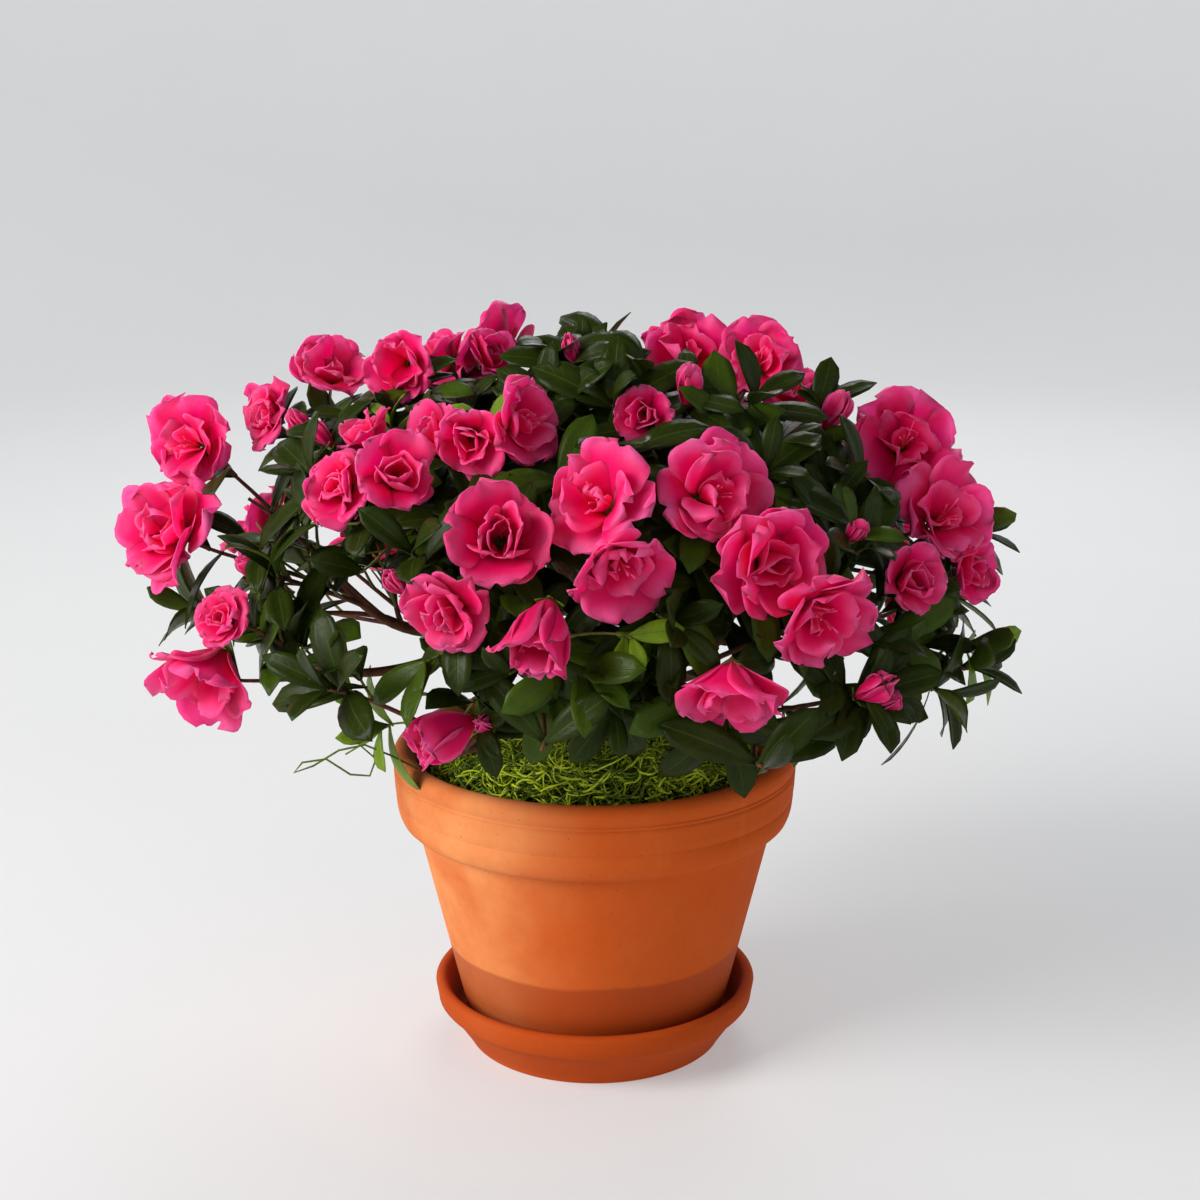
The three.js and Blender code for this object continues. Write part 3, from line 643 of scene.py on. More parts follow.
def new_group(name, tints, values):
    """An empty shader node group: named colours and values in, and a colour, roughness and height out.
    Returns the group and its inner input and output."""
    tree = bpy.data.node_groups.new(name, "ShaderNodeTree")
    for label in tints:
        tree.interface.new_socket(label, in_out="INPUT", socket_type="NodeSocketColor")
    for label, default in values.items():
        kind = "NodeSocketFloat" if isinstance(default, float) else "NodeSocketVector"
        tree.interface.new_socket(label, in_out="INPUT", socket_type=kind).default_value = default
    for label, kind in (("Color", "Color"), ("Roughness", "Float"), ("Height", "Float")):
        tree.interface.new_socket(label, in_out="OUTPUT", socket_type=f"NodeSocket{kind}")
    inner = tree.nodes.new("NodeGroupInput")
    outer = tree.nodes.new("NodeGroupOutput")
    return tree, inner.outputs, outer.inputs


def join(tree, socket, value):
    tree.links.new(value, socket)


def on_object(tree):
    return add_node(tree, "ShaderNodeTexCoord").outputs["Object"]


def stretched(tree, vector, scale):
    return add_node(tree, "ShaderNodeMapping", {"Vector": vector, "Scale": scale}).outputs[0]


def on_blade(tree):
    """The place on a leaf or petal, and how far across and along it that is, each from 0 to 1."""
    place_on = add_node(tree, "ShaderNodeUVMap", uv_map="blade").outputs[0]
    across, along, _ = add_node(tree, "ShaderNodeSeparateXYZ", {0: place_on}).outputs
    return place_on, across, along


def clay_surface(name):
    """Fired clay: mottled, chalky in patches, paler on its left side as painted light from the key lamp,
    redder where it is damp, pitted and lightly ringed.
    """
    tree, given, out = new_group(name, ("Clay", "Chalk", "Damp"), {"Tide Height": 0.054, "Chalk And Painted Light Amount": 0.5})
    place_on = on_object(tree)
    axes = add_node(tree, "ShaderNodeSeparateXYZ", {0: place_on}).outputs
    broad = cloud(tree, place_on, 14.0, 5.0, 0.6)
    mottle = cloud(tree, place_on, 160.0, 6.0, 0.65)
    grit = cloud(tree, place_on, 1400.0, 3.0, 0.6)
    streaks = cloud(tree, stretched(tree, place_on, (60, 60, 9)), 1.0, 5.0, 0.6)
    # Painted light: the chalk is raised towards the left side, so that the clay there is paler, as where the
    # key light falls.
    painted_left_light = ranged(tree, axes[0], 0.005, -0.065)
    chalk = times(tree, ranged(tree, broad, 0.1, 0.9), given["Chalk And Painted Light Amount"])
    chalk = times(tree, chalk, plus(tree, times(tree, painted_left_light, 1.1), 0.12))
    chalk = plus(tree, chalk, ranged(tree, streaks, 0.56, 0.78, 0.0, 0.06), clamp=True)
    shaded = mixed(tree, ranged(tree, mottle, 0.3, 0.75, 0.0, 0.12), given["Clay"], given["Damp"])
    # The chalk colour mixed in here is chalk bloom in patches and streaks, and painted light on the left
    # side.
    shaded = mixed(tree, chalk, shaded, given["Chalk"])
    wander = times(tree, minus(tree, broad, 0.5), 0.008)
    tide = plus(tree, given["Tide Height"], wander)
    wet = ranged(tree, minus(tree, axes[2], tide), 0.0012, -0.0012)
    shaded = mixed(tree, times(tree, wet, 0.6), shaded, given["Damp"])
    pits = add_node(tree, "ShaderNodeTexVoronoi", {"Vector": place_on, "Scale": 210.0}).outputs[0]
    pit = times(tree, ranged(tree, pits, 0.11, 0.05), ranged(tree, broad, 0.4, 0.7))
    join(tree, out["Color"], mixed(tree, times(tree, pit, 0.6), shaded, (0.05, 0.02, 0.01, 1)))
    join(tree, out["Roughness"], minus(tree, ranged(tree, grit, 0.3, 0.7, 0.8, 0.95), times(tree, wet, 0.22)))
    rings = add_node(tree, "ShaderNodeTexWave", {"Vector": place_on, "Scale": 130.0, "Distortion": 1.5,
                                                 "Detail": 2.0, "Detail Scale": 1.0},
                     wave_type="BANDS", bands_direction="Z").outputs["Fac"]
    relief = plus(tree, times(tree, rings, 0.12), times(tree, grit, 0.45))
    relief = plus(tree, relief, times(tree, mottle, 0.5))
    join(tree, out["Height"], minus(tree, relief, times(tree, pit, 1.4)))
    return tree


def grain_surface(name):
    """A rough natural surface: two colours in patches of a chosen size, with darker hollows."""
    tree, given, out = new_group(name, ("Light", "Dark"), {"Stretch": (1, 1, 1), "Scale": 200.0})
    drawn = stretched(tree, on_object(tree), given["Stretch"])
    coarse = cloud(tree, drawn, given["Scale"], 6.0, 0.62, 0.4)
    fine = cloud(tree, drawn, times(tree, given["Scale"], 4.5), 4.0, 0.6)
    both = plus(tree, times(tree, coarse, 0.65), times(tree, fine, 0.35))
    join(tree, out["Color"], mixed(tree, ranged(tree, both, 0.38, 0.62), given["Dark"], given["Light"]))
    join(tree, out["Roughness"], ranged(tree, fine, 0.3, 0.7, 0.72, 0.95))
    join(tree, out["Height"], both)
    return tree


def blade_surface(name):
    """A leaf's face: a pale midrib, side veins that run forward to the edge, and cloudy green between."""
    tree, given, out = new_group(name, ("Green", "Rib", "Cloud"), {"Vein Amount": 0.25})
    _, across, along = on_blade(tree)
    off_rib = sums(tree, "ABSOLUTE", minus(tree, across, 0.5))
    rib = ranged(tree, off_rib, 0.045, 0.012)
    forward = minus(tree, along, times(tree, off_rib, 0.42))
    veins = sums(tree, "SINE", times(tree, forward, 52.0))
    vein = times(tree, ranged(tree, veins, 0.8, 1.0), ranged(tree, off_rib, 0.5, 0.3))
    place_on = on_object(tree)
    patch = cloud(tree, place_on, 90.0, 4.0)
    shaded = mixed(tree, ranged(tree, patch, 0.35, 0.7, 0.0, 0.7), given["Green"], given["Cloud"])
    shaded = mixed(tree, times(tree, vein, given["Vein Amount"]), shaded, given["Rib"])
    join(tree, out["Color"], mixed(tree, times(tree, rib, 0.5), shaded, given["Rib"]))
    join(tree, out["Roughness"], ranged(tree, cloud(tree, place_on, 260.0, 3.0), 0.3, 0.7, 0.27, 0.42))
    dips = plus(tree, times(tree, vein, -0.6), times(tree, rib, -1.0))
    join(tree, out["Height"], plus(tree, dips, times(tree, cloud(tree, place_on, 900.0), 0.5)))
    return tree


def petal_surface(name):
    """A petal: deeper at the throat, partly its own deeper base and partly painted shade in the folds at the
    flower's middle; paler at the frilled edge, as painted light shining through it; with fine lines that fan
    out along it.
    """
    tree, given, out = new_group(name, ("Petal", "Throat", "Edge"), {})
    on_petal, across, along = on_blade(tree)
    place_on = on_object(tree)
    patch = cloud(tree, place_on, 70.0, 4.0)
    lines = cloud(tree, stretched(tree, on_petal, (26, 2.2, 1)), 1.0, 3.0)
    off_middle = sums(tree, "ABSOLUTE", minus(tree, across, 0.5))
    # Painted light: the pale edge colour stands for light shining through the thin tip and sides of the
    # petal.
    edge = sums(tree, "MAXIMUM", ranged(tree, along, 0.62, 1.0), ranged(tree, off_middle, 0.34, 0.5))
    edge = times(tree, edge, ranged(tree, patch, 0.3, 0.7, 0.25, 0.8))
    # Partly painted shade: the deep throat colour darkens the base of the petal, in the folds at the middle
    # of the flower, with the fine lines.
    throat = plus(tree, ranged(tree, along, 0.45, 0.0), ranged(tree, lines, 0.5, 0.75, 0.0, 0.28), clamp=True)
    shaded = mixed(tree, throat, given["Petal"], given["Throat"])
    join(tree, out["Color"], mixed(tree, edge, shaded, given["Edge"]))
    join(tree, out["Roughness"], ranged(tree, patch, 0.3, 0.7, 0.42, 0.6))
    join(tree, out["Height"], plus(tree, lines, times(tree, cloud(tree, place_on, 500.0), 0.4)))
    return tree


def material_with(name, build, values, bump, distance, **shader):
    """A material whose Principled shader takes its colour, roughness and relief from a surface's group,
    which is built once."""
    title = build.__name__.replace("_", " ")
    group = bpy.data.node_groups.get(title) or build(title)
    made = bpy.data.materials.new(name)
    made.use_nodes = True
    tree = made.node_tree
    surface = tree.nodes["Principled BSDF"].inputs
    looks = add_node(tree, "ShaderNodeGroup", values, node_tree=group).outputs
    join(tree, surface["Base Color"], looks["Color"])
    join(tree, surface["Roughness"], looks["Roughness"])
    relief = {"Height": looks["Height"], "Strength": bump, "Distance": distance * MM}
    join(tree, surface["Normal"], add_node(tree, "ShaderNodeBump", relief).outputs[0])
    for key, value in shader.items():
        surface[key.replace("_", " ").title().replace("Ior", "IOR")].default_value = value
    return made


def scaled(shade, factor):
    return (*(min(1.0, c * factor) for c in shade[:3]), 1.0)


def mix_of(first, second, share):
    return (*(between(a, b, share) for a, b in zip(first[:3], second[:3])), 1.0)


def grain(name, shade, light, dark, scale, bump, distance, stretch=(1, 1, 1)):
    """A rough natural finish between a lighter and a darker tone of one colour."""
    values = {"Light": scaled(shade, light), "Dark": scaled(shade, dark), "Scale": scale, "Stretch": stretch}
    return material_with(name, grain_surface, values, bump, distance)


def leaf_material(name, green, rib, veins):
    values = {"Green": green, "Rib": rib, "Cloud": scaled(green, 1.5), "Vein Amount": veins}
    return material_with(name, blade_surface, values, 0.3, 0.25, specular_ior_level=0.11)


# ---- Shapes of leaves and petals ----

LEAF_GRID = (4, 7)
PETAL_GRID = (10, 10)
# Half the width of a petal along its length, as a share of its greatest.
PETAL_ALONG = (0, 0.12, 0.3, 0.5, 0.68, 0.84, 0.94, 0.98, 1)
PETAL_HALF = (0.12, 0.32, 0.7, 0.95, 1, 0.94, 0.76, 0.56, 0.32)


def leaf_shape(u, v, length, width, fold, droop, wave, phase):
    """A leaf along +X with its face to +Z: widest past its middle, folded along its rib, tip hanging."""
    stalk = 0.07 * np.clip(1 - v * 6, 0, 1) + 0.03
    half = np.maximum(v ** 1.05 * (1 - v) ** 0.62 / 0.4, stalk) * width / 2
    x = length * (v - 0.03)
    y = half * u * math.cos(fold)
    lift = np.abs(u) * half * math.sin(fold)
    edge = -0.1 * half * u ** 4 + wave * length * u ** 2 * np.sin(9 * v + phase) * v
    z = length * (0.22 * v * (1 - v) - droop * v ** 2) + lift + edge
    return np.column_stack([x, y, z])


def petal_shape(u, v, length, width, start, lean, cup, frill, phases, foot, twist):
    """A petal round the +Z axis of its flower, with its middle over +X. Its lean goes from the first angle
    to the second and rolls back by the third at its edge. It is channelled by cup, frilled at its edge and
    twisted about its length."""
    rows = np.unique(v)
    ease = rows ** 2 * (3 - 2 * rows)
    lean_at = lean[0] + (lean[1] - lean[0]) * ease + lean[2] * rows ** 4
    steps = np.diff(rows, prepend=0) * length
    angle = np.interp(v, rows, lean_at)
    radius_at = np.interp(v, rows, foot + np.cumsum(np.sin(lean_at) * steps))
    height_at = np.interp(v, rows, start + np.cumsum(np.cos(lean_at) * steps))
    half = np.interp(v, PETAL_ALONG, PETAL_HALF) * width / 2
    curl = cup * (1 - 0.5 * v ** 2)
    sideways = half * np.sin(curl * u) / curl
    edge = np.maximum(u ** 2 * v ** 0.8, v ** 4)
    ripple = np.sin(3.6 * u + phases[0]) + 0.55 * np.sin(7.4 * u + phases[1] + 3 * v)
    inward = half * (1 - np.cos(curl * u)) / curl + frill * length * edge * ripple + sideways * twist * v
    inward += 0.6 * frill * length * v * np.sin(2.3 * u + 2.6 * v + phases[1])
    notch = np.exp(-(u / 0.22) ** 2) * v ** 8
    back = length * (0.07 * u ** 2 * v ** 5 + 0.045 * notch + 0.035 * v ** 4 * np.sin(5.2 * u + phases[0]))
    r = radius_at - inward * np.cos(angle) - back * np.sin(angle)
    z = height_at + inward * np.sin(angle) - back * np.cos(angle)
    return np.column_stack([r, sideways, z])


def stood(points, root, axis, face):
    """Stands a shape made along +X with its face to +Z at a root, along an axis."""
    up = unit(face - axis * face.dot(axis))
    return root + points @ np.array([axis, np.cross(up, axis), up])


# ---- Growing leaves and flowers on the plan ----

def in_opening(points):
    """True where any point lies in one of the openings that run through the crown from front to back."""
    away = FAN_FROM[1] / (FAN_FROM[1] - points[:, 1])
    across = FAN_FROM[0] + (points[:, 0] - FAN_FROM[0]) * away
    height = FAN_FROM[2] + (points[:, 2] - FAN_FROM[2]) * away
    return any((np.hypot(across - x, height - z) < radius).any() for x, z, radius in OPENINGS)


def meets_bloom(points, blooms):
    """True where any point lies in a flower, or in the space before its face or on the window side of it."""
    centres, radii, faces = blooms
    off = points[:, None] - centres[None]
    far = np.linalg.norm(off, axis=2)
    for way, slope, back, wide in ((faces, 0.55, 0.7, 1.15), (unit(WINDOW)[None], 0, 0, 0.95)):
        before = (off * way).sum(2)
        beside = np.sqrt(np.maximum(0, far ** 2 - before ** 2))
        open_side = before > slope * beside - back * radii
        if (open_side & (before < 2.8 * radii) & (beside < wide * radii)).any():
            return True
    return bool((far < radii * 0.6).any())


class Blades:
    """Leaves gathered as arrays of corners, each with the number of its shade."""

    def __init__(self):
        self.u, self.v, self.faces = sheet_grid(*LEAF_GRID)
        self.copies = []
        self.shades = []
        self.uv = np.column_stack([(self.u + 1) / 2, self.v])

    def grow(self, rng, root, axis, face, length, shade, slim, limp=1.0):
        points = leaf_shape(self.u, self.v, length, length * slim, math.radians(8 + 16 * rng.random()),
                            limp * (0.06 + 0.16 * rng.random()), 0.012 * rng.random(), 6.28 * rng.random())
        self.copies.append(stood(points, root, axis, face))
        self.shades.append(shade)


SHADES = ("deep", "mid", "young")
SHADE_DEEP, SHADE_MID, SHADE_YOUNG = range(3)
LEAF_SLIM = 0.46                 # a leaf's width as a share of its length
TRIED_TILTS = (0, -18, 14, -32)      # added to a leaf's tilt in turn, until one keeps it clear of flowers
# From this height on, over this much more, leaves before this depth turn their faces to the window.
HIGH, HIGH_OVER, HIGH_FRONT = 300, 50, 40
LEAVES = {"shoot": (8, 44), "collar": (6, 40), "fine": (7, 41), "young": (7, 30)}      # count, length


def whorl(blades, rng, path, site, count, length, shade, blooms, back=13.0, lean=(86, 34)):
    """Leaves round the end of a twig, a golden angle apart, the later ones shorter and more upright."""
    free = site["kind"] == "spray"
    first = 6.28 * rng.random()
    for i in range(count):
        step = i / max(1, count - 1)
        share = max(0.2, 1 - (back * (1 - step) + 0.8) / path.length)
        seat = path.along(share)
        way = unit(path.way(path.at_share(share)) + site["out"])
        across, along = sides_of(way)
        turn = first + math.radians(LEAF_TURN * i) + 0.35 * (rng.random() - 0.5)
        side = across * math.cos(turn) + along * math.sin(turn)
        size = length * (1 - 0.38 * step ** 1.6) * (0.86 + 0.28 * rng.random())
        tilt = between(*lean, step) + 12 * (rng.random() - 0.5)
        for more in TRIED_TILTS:
            angle = math.radians(tilt + more)
            axis = unit(way * math.cos(angle) + side * math.sin(angle))
            reach = seat + axis * size * np.array([[0.45], [0.75], [1.0]])
            if meets_bloom(reach, blooms) or not clear_of_pot(reach):
                continue
            if reach[:, 2].max() > CEILING:
                continue
            if not free and (in_opening(reach) or not over_skirt(reach, 4)):
                continue
            high = min(1, max(0, (seat[2] - HIGH) / HIGH_OVER)) if seat[1] < HIGH_FRONT else 0
            lit = way * (1 - 0.6 * high) + LIGHT * (0.55 if seat[1] < 0 else 0.3) + WINDOW * 0.7 * high
            face = unit(lit - axis * lit.dot(axis))
            blades.grow(rng, seat, axis, face, size, shade, LEAF_SLIM * (0.9 + 0.25 * rng.random()))
            break


def grow_leaves():
    """Every leaf of the crown: whorls on shoots and sprays, and collars under flowers and buds."""
    rng = np.random.default_rng(11)
    blades = Blades()
    blooms = plant().blooms
    for plan in plant().masses:
        for path, site in plan["twigs"]:
            lighter = rng.random() < 0.12
            if site["kind"] == "shoot":
                whorl(blades, rng, path, site, *LEAVES["shoot"], SHADE_MID if lighter else SHADE_DEEP, blooms)
            else:
                shade = SHADE_MID if rng.random() < 0.35 else SHADE_DEEP
                whorl(blades, rng, path, site, *LEAVES["collar"], shade, blooms, back=16, lean=(95, 62))
    for path, site in plant().fine:
        chance = rng.random()
        shade = SHADE_YOUNG if chance < 0.06 else SHADE_MID if chance < 0.34 else SHADE_DEEP
        kind = "young" if shade == SHADE_YOUNG else "fine"
        whorl(blades, rng, path, site, *LEAVES[kind], shade, blooms)
    for path, site in plant().sprays:
        shade = SHADES.index(site["shade"])
        whorl(blades, rng, path, site, site["count"], site["length"], shade, blooms, back=8)
    return blades


# Rings of petals of each form: number; length, width and height of the foot as shares of the flower's
# radius; lean, as petal_shape takes it, in degrees; cup; frill; and how far the foot is from the axis.
FORMS = {
    "bud": [(4, 2.4, 1.7, -0.9, (26, -22, 0), 1.2, 0.01, 0.12),
            (3, 2.3, 1.3, -0.8, (14, -10, 4), 1.3, 0.01, 0.08)],
    "trumpet": [(5, 1.95, 1.45, -1.05, (34, -12, 30), 0.95, 0.035, 0.1),
                (4, 1.75, 1.2, -1.0, (22, -12, 14), 1.1, 0.03, 0.08)],
    "bell": [(5, 1.75, 1.75, -0.85, (38, 38, 34), 0.5, 0.06, 0.1),
             (4, 1.45, 1.3, -0.8, (24, 24, 30), 0.7, 0.07, 0.08)],
    "cup": [(5, 1.36, 1.4, -0.75, (32, 44, 30), 0.45, 0.06, 0.1),
            (3, 1.18, 1.2, -0.7, (26, 8, 12), 0.7, 0.04, 0.08),
            (2, 1.02, 1.0, -0.6, (18, -10, 6), 1.9, 0.02, 0.14)],
    "loose": [(5, 1.22, 1.44, -0.55, (34, 62, 22), 0.3, 0.1, 0.1),
              (3, 1.0, 1.14, -0.5, (24, 34, 26), 0.45, 0.13, 0.08),
              (2, 0.7, 0.6, -0.45, (12, 16, 20), 0.7, 0.12, 0.05)],
    "double": [(5, 1.18, 1.4, -0.5, (38, 70, 22), 0.3, 0.09, 0.1),
               (4, 1.04, 1.22, -0.5, (28, 44, 26), 0.45, 0.1, 0.08),
               (3, 0.84, 0.92, -0.46, (22, 14, 20), 0.6, 0.08, 0.05),
               (2, 0.76, 0.82, -0.42, (16, -8, 8), 2.0, 0.02, 0.1)],
}
LARGEST_BELL = 20
SMALL_FLOWER = 15.5
UPWARD = 0.75      # a flower that faces up more than this shows no stamens
STAMENS = 5
THREAD_RADII = (0.35, 0.3, 0.26, 0.24, 0.3, 0.5)      # of a stamen, which ends in a small knob
SEPALS = 5


def form_of(name, number, site, roll):
    """The form of a flower: a bud, the chosen one, a cup where it is small, or else loose or double."""
    if site["kind"] == "bud":
        return "bud"
    dealt = "cup" if site["radius"] < SMALL_FLOWER else "loose" if roll < 0.5 else "double"
    return entry(FLOWER_FORMS, name, number) or dealt


class Blossom:
    """Petals and stamens gathered as arrays, each petal with the number of its shade."""

    def __init__(self):
        self.u, along, self.faces = sheet_grid(*PETAL_GRID)
        self.v = 1 - (1 - along) ** 1.35        # rows crowd towards the rounded edge
        self.uv = np.column_stack([(self.u + 1) / 2, self.v])
        self.copies = []
        self.shades = []
        self.threads = []

    def grow(self, rng, site, form, shade, sepals):
        """One flower or bud, with five sepals under it."""
        radius = site["radius"]
        middle = site["point"]
        axis = unit(site["faces"] + 0.6 * (rng.random(3) - 0.5))
        across, along = sides_of(axis)
        first = 6.28 * rng.random()
        spread = np.array((26, 26, 50) if form in ("loose", "double") else (10, 10, 16))      # of the lean
        size = min(radius, LARGEST_BELL) if form == "bell" else radius
        for ring, (count, *shares, lean, cup, frill, foot) in enumerate(FORMS[form]):
            length, width, start = (share * size for share in shares)
            for i in range(count):
                turn = first + ring * 0.63 + math.tau * (i + 0.3 * (rng.random() - 0.5)) / count
                bent = np.radians(lean + spread * (rng.random(3) - 0.5))
                long = length * (0.84 + 0.32 * rng.random())
                wide = width * (0.9 + 0.2 * rng.random())
                frilled = frill * (0.5 + rng.random())
                phases = 6.28 * rng.random(2)
                points = petal_shape(self.u, self.v, long, wide, start, bent, cup, frilled, phases,
                                     foot * size, rng.normal(0, 0.25))
                side = across * math.cos(turn) + along * math.sin(turn)
                self.copies.append(middle + points @ np.array([side, np.cross(axis, side), axis]))
                self.shades.append(shade)
        if form == "loose" and site["faces"][2] < UPWARD:
            self.thread(rng, middle - axis * 0.4 * radius, axis, across, along, radius)
        foot = middle + axis * (FORMS[form][0][3] * size - 1.0)
        for i in range(SEPALS):
            turn = first + math.tau * i / SEPALS
            side = across * math.cos(turn) + along * math.sin(turn)
            sepals.grow(rng, foot - axis * 0.6, unit(axis * 0.75 + side), unit(axis - side * 0.3),
                        0.34 * min(radius, 16) + 3, SHADE_YOUNG, 0.42, 0.2)

    def thread(self, rng, root, axis, across, along, radius):
        """Stamens: thin lines that rise from the throat and lean out a little."""
        for _ in range(STAMENS):
            turn = 6.28 * rng.random()
            side = across * math.cos(turn) + along * math.sin(turn)
            length = radius * (0.55 + 0.3 * rng.random())
            bend = root + axis * length * 0.6 + side * length * 0.06
            tip = root + axis * length + side * length * (0.15 + 0.25 * rng.random())
            self.threads.append(Path(root, bend, tip))


def grow_flowers():
    """Petals of every flower and bud, with a shade dealt to each flower, painted light and shade on some
    masses, and green sepals under each.
    """
    rng = np.random.default_rng(23)
    blossom, sepals = Blossom(), Blades()
    for plan in plant().masses:
        for number, (_, site) in enumerate(plan["twigs"]):
            roll, dealt = rng.random(), int(rng.integers(0, 3))
            if site["kind"] != "shoot":
                # Painted light and shade on the listed masses; elsewhere a tone dealt at random.
                shade = FLOWER_PAINTED_LIGHT.get(plan["name"], dealt)
                blossom.grow(rng, site, form_of(plan["name"], number, site, roll), shade, sepals)
    return blossom, sepals


# ---- Moss ----

MOSS = {"inner": 26.0, "outer": 82.0, "strands": 1080, "all_round": 0.3, "points": 16, "step": 3.0,
        "highest": 264.0, "densest": 266.0, "older": 0.42}
# The one long strand that hangs curling in the air over the left of the rim.
STRAY_STRAND = [(-84, -52, 158), (-96, -56, 166), (-108, -58, 172), (-120, -60, 170), (-132, -62, 163),
                (-141, -63, 160), (-137, -63, 165), (-126, -61, 166), (-115, -60, 158), (-106, -59, 157),
                (-103, -58, 165), (-110, -59, 172), (-117, -60, 168)]


def moss_height(turn):
    """How high the moss stands above its bed: highest at the front."""
    front = max(0.0, math.cos(turn - math.radians(MOSS["highest"])))
    return 7 + 24 * front ** 3 + 1.3 * math.sin(5 * turn) + 0.8 * math.sin(9 * turn + 1)


def moss_strand(rng):
    """One curled strand: it winds about an axis that wanders, and is drawn back towards the middle of the
    moss when it strays."""
    all_round = rng.random() < MOSS["all_round"]
    turn = math.tau * rng.random() if all_round else math.radians(MOSS["densest"]) + rng.normal(0, 0.8)
    level = between(MOSS["inner"], MOSS["outer"], math.sqrt(rng.random()))
    height = SOIL["top"] + moss_height(turn) * (1 - 0.75 * rng.random() ** 1.5)
    point = np.array((level * math.cos(turn), level * math.sin(turn), height))
    way = unit(rng.normal(0, 1, 3) * (1, 1, 0.55))
    winds_about = unit(rng.normal(0, 1, 3) * (0.6, 0.6, 1))
    winding = 0.12 + 0.42 * rng.random() ** 2
    line = []
    for _ in range(MOSS["points"]):
        line.append(point.copy())
        point = point + way * MOSS["step"]
        way = way * math.cos(winding) + np.cross(winds_about, way) * math.sin(winding)
        winding = 0.9 * winding + 0.01 + 0.1 * rng.random()
        winds_about = unit(winds_about + rng.normal(0, 0.18, 3))
        here = math.hypot(point[0], point[1])
        ceiling = SOIL["top"] + moss_height(math.atan2(point[1], point[0]))
        pull = np.array((0.0, 0.0, 0.0))
        if here > MOSS["outer"] - 6:
            pull[:2] -= point[:2] / here
        if here < MOSS["inner"]:
            pull[:2] += point[:2] / here
        pull[2] += 0.7 * (point[2] < SOIL["top"] + 2) - 0.5 * (point[2] > ceiling)
        way = unit(way + 0.45 * pull)
        point[:2] *= min(here, MOSS["outer"]) / here
        point[2] = max(point[2], SOIL["top"] + 0.5)
    return np.array(line)


# ---- Sizes and colours that a user would change ----

def millimetres(name, about, default, least):
    return FloatProperty(name=name, description=f"{about}, in millimetres", default=default, min=least)


class AZALEA_PG_sizes(bpy.types.PropertyGroup):
    """Sizes of what grows on the frame."""
    leaf_thickness: millimetres("Leaf thickness", "Thickness of a leaf", 0.35, 0.1)
    petal_thickness: millimetres("Petal thickness", "Thickness of a petal", 0.3, 0.1)
    bark_voxel: millimetres("Bark detail", "Size of the bark's smallest form", 0.9, 0.4)
    round_steps: IntProperty(name="Round steps", description="Steps in a full turn of the clay", default=144,
                             min=24)
    tide_height: FloatProperty(name="Tide height", description="Height of the damp mark on the pot",
                               default=0.054, unit="LENGTH", subtype="DISTANCE")


def colour(name, about, red, green, blue):
    return FloatVectorProperty(name=name, description=about, subtype="COLOR", size=4, min=0, max=1,
                               default=srgb(red, green, blue))


class AZALEA_PG_colours(bpy.types.PropertyGroup):
    """Colours of the finishes."""
    clay: colour("Clay", "Dry fired clay", 192, 76, 12)
    # The chalk colour is also painted light: the clay mixes it in most on the pot's left side, where the key
    # light falls.
    chalk: colour("Chalk", "Chalky bloom on the clay", 228, 150, 92)
    damp: colour("Damp clay", "Clay that holds water", 144, 50, 10)
    peat: colour("Peat", "Dark potting peat", 40, 28, 18)
    moss: colour("Moss", "Curled moss", 186, 206, 36)
    moss_deep: colour("Deep moss", "Older moss", 96, 122, 14)
    bark: colour("Bark", "Grey-brown ridges of the bark", 128, 92, 66)
    twig: colour("Twig", "Red-brown twigs", 112, 62, 36)
    green_twig: colour("Green twig", "This year's twigs", 118, 116, 50)
    leaf_deep: colour("Deep leaf", "Old leaves", 32, 43, 5)
    leaf_mid: colour("Middle leaf", "Grown leaves", 50, 68, 10)
    leaf_young: colour("Young leaf", "This year's leaves", 98, 124, 26)
    leaf_back: colour("Leaf back", "Undersides of leaves", 70, 88, 30)
    petal: colour("Petal", "Middle of a petal", 240, 8, 88)
    # The pale petal colour is painted light that shines through the edge of a petal; the stamens take it too.
    petal_pale: colour("Pale petal", "Edge of a petal", 248, 92, 148)
    # The throat colour is partly painted shade in the folds at the middle of a flower.
    throat: colour("Throat", "Folds at the middle of a flower", 222, 4, 60)


def sizes():
    return bpy.context.scene.azalea_sizes


def colours():
    return bpy.context.scene.azalea_colours


# ---- Operators ----

SENSOR = 36.0
FOCAL_PX, FRAME_PX = 2109, 1200      # the focal length and the side of the frame, in pixels
CAMERA_AT, PITCH, YAW = (0.0, -1.0, 0.488), 14.62, -0.15
# The floor, in metres: flat round the plant, then curved up into a backdrop.
SWEEP = [(0, 0), (2.2, 0)] + arc((2.2, 0.9), 0.9, -84, 0, 12) + [(3.1, 1.7)]
SWEEP_STEPS = 96
LIGHTS_AIM = Vector((0, 0, 0.2))
LIGHTS = (("key_light", 1.3, 66.0, (-1.9, -1.0, 1.35), (1, 0.985, 0.96)),
          ("fill_light", 1.4, 3.5, (1.5, -1.7, 0.9), (0.96, 0.98, 1)),
          ("back_light", 1.0, 14.0, (0.3, 1.7, 1.5), (1, 1, 1)))      # name, size, power, place, colour


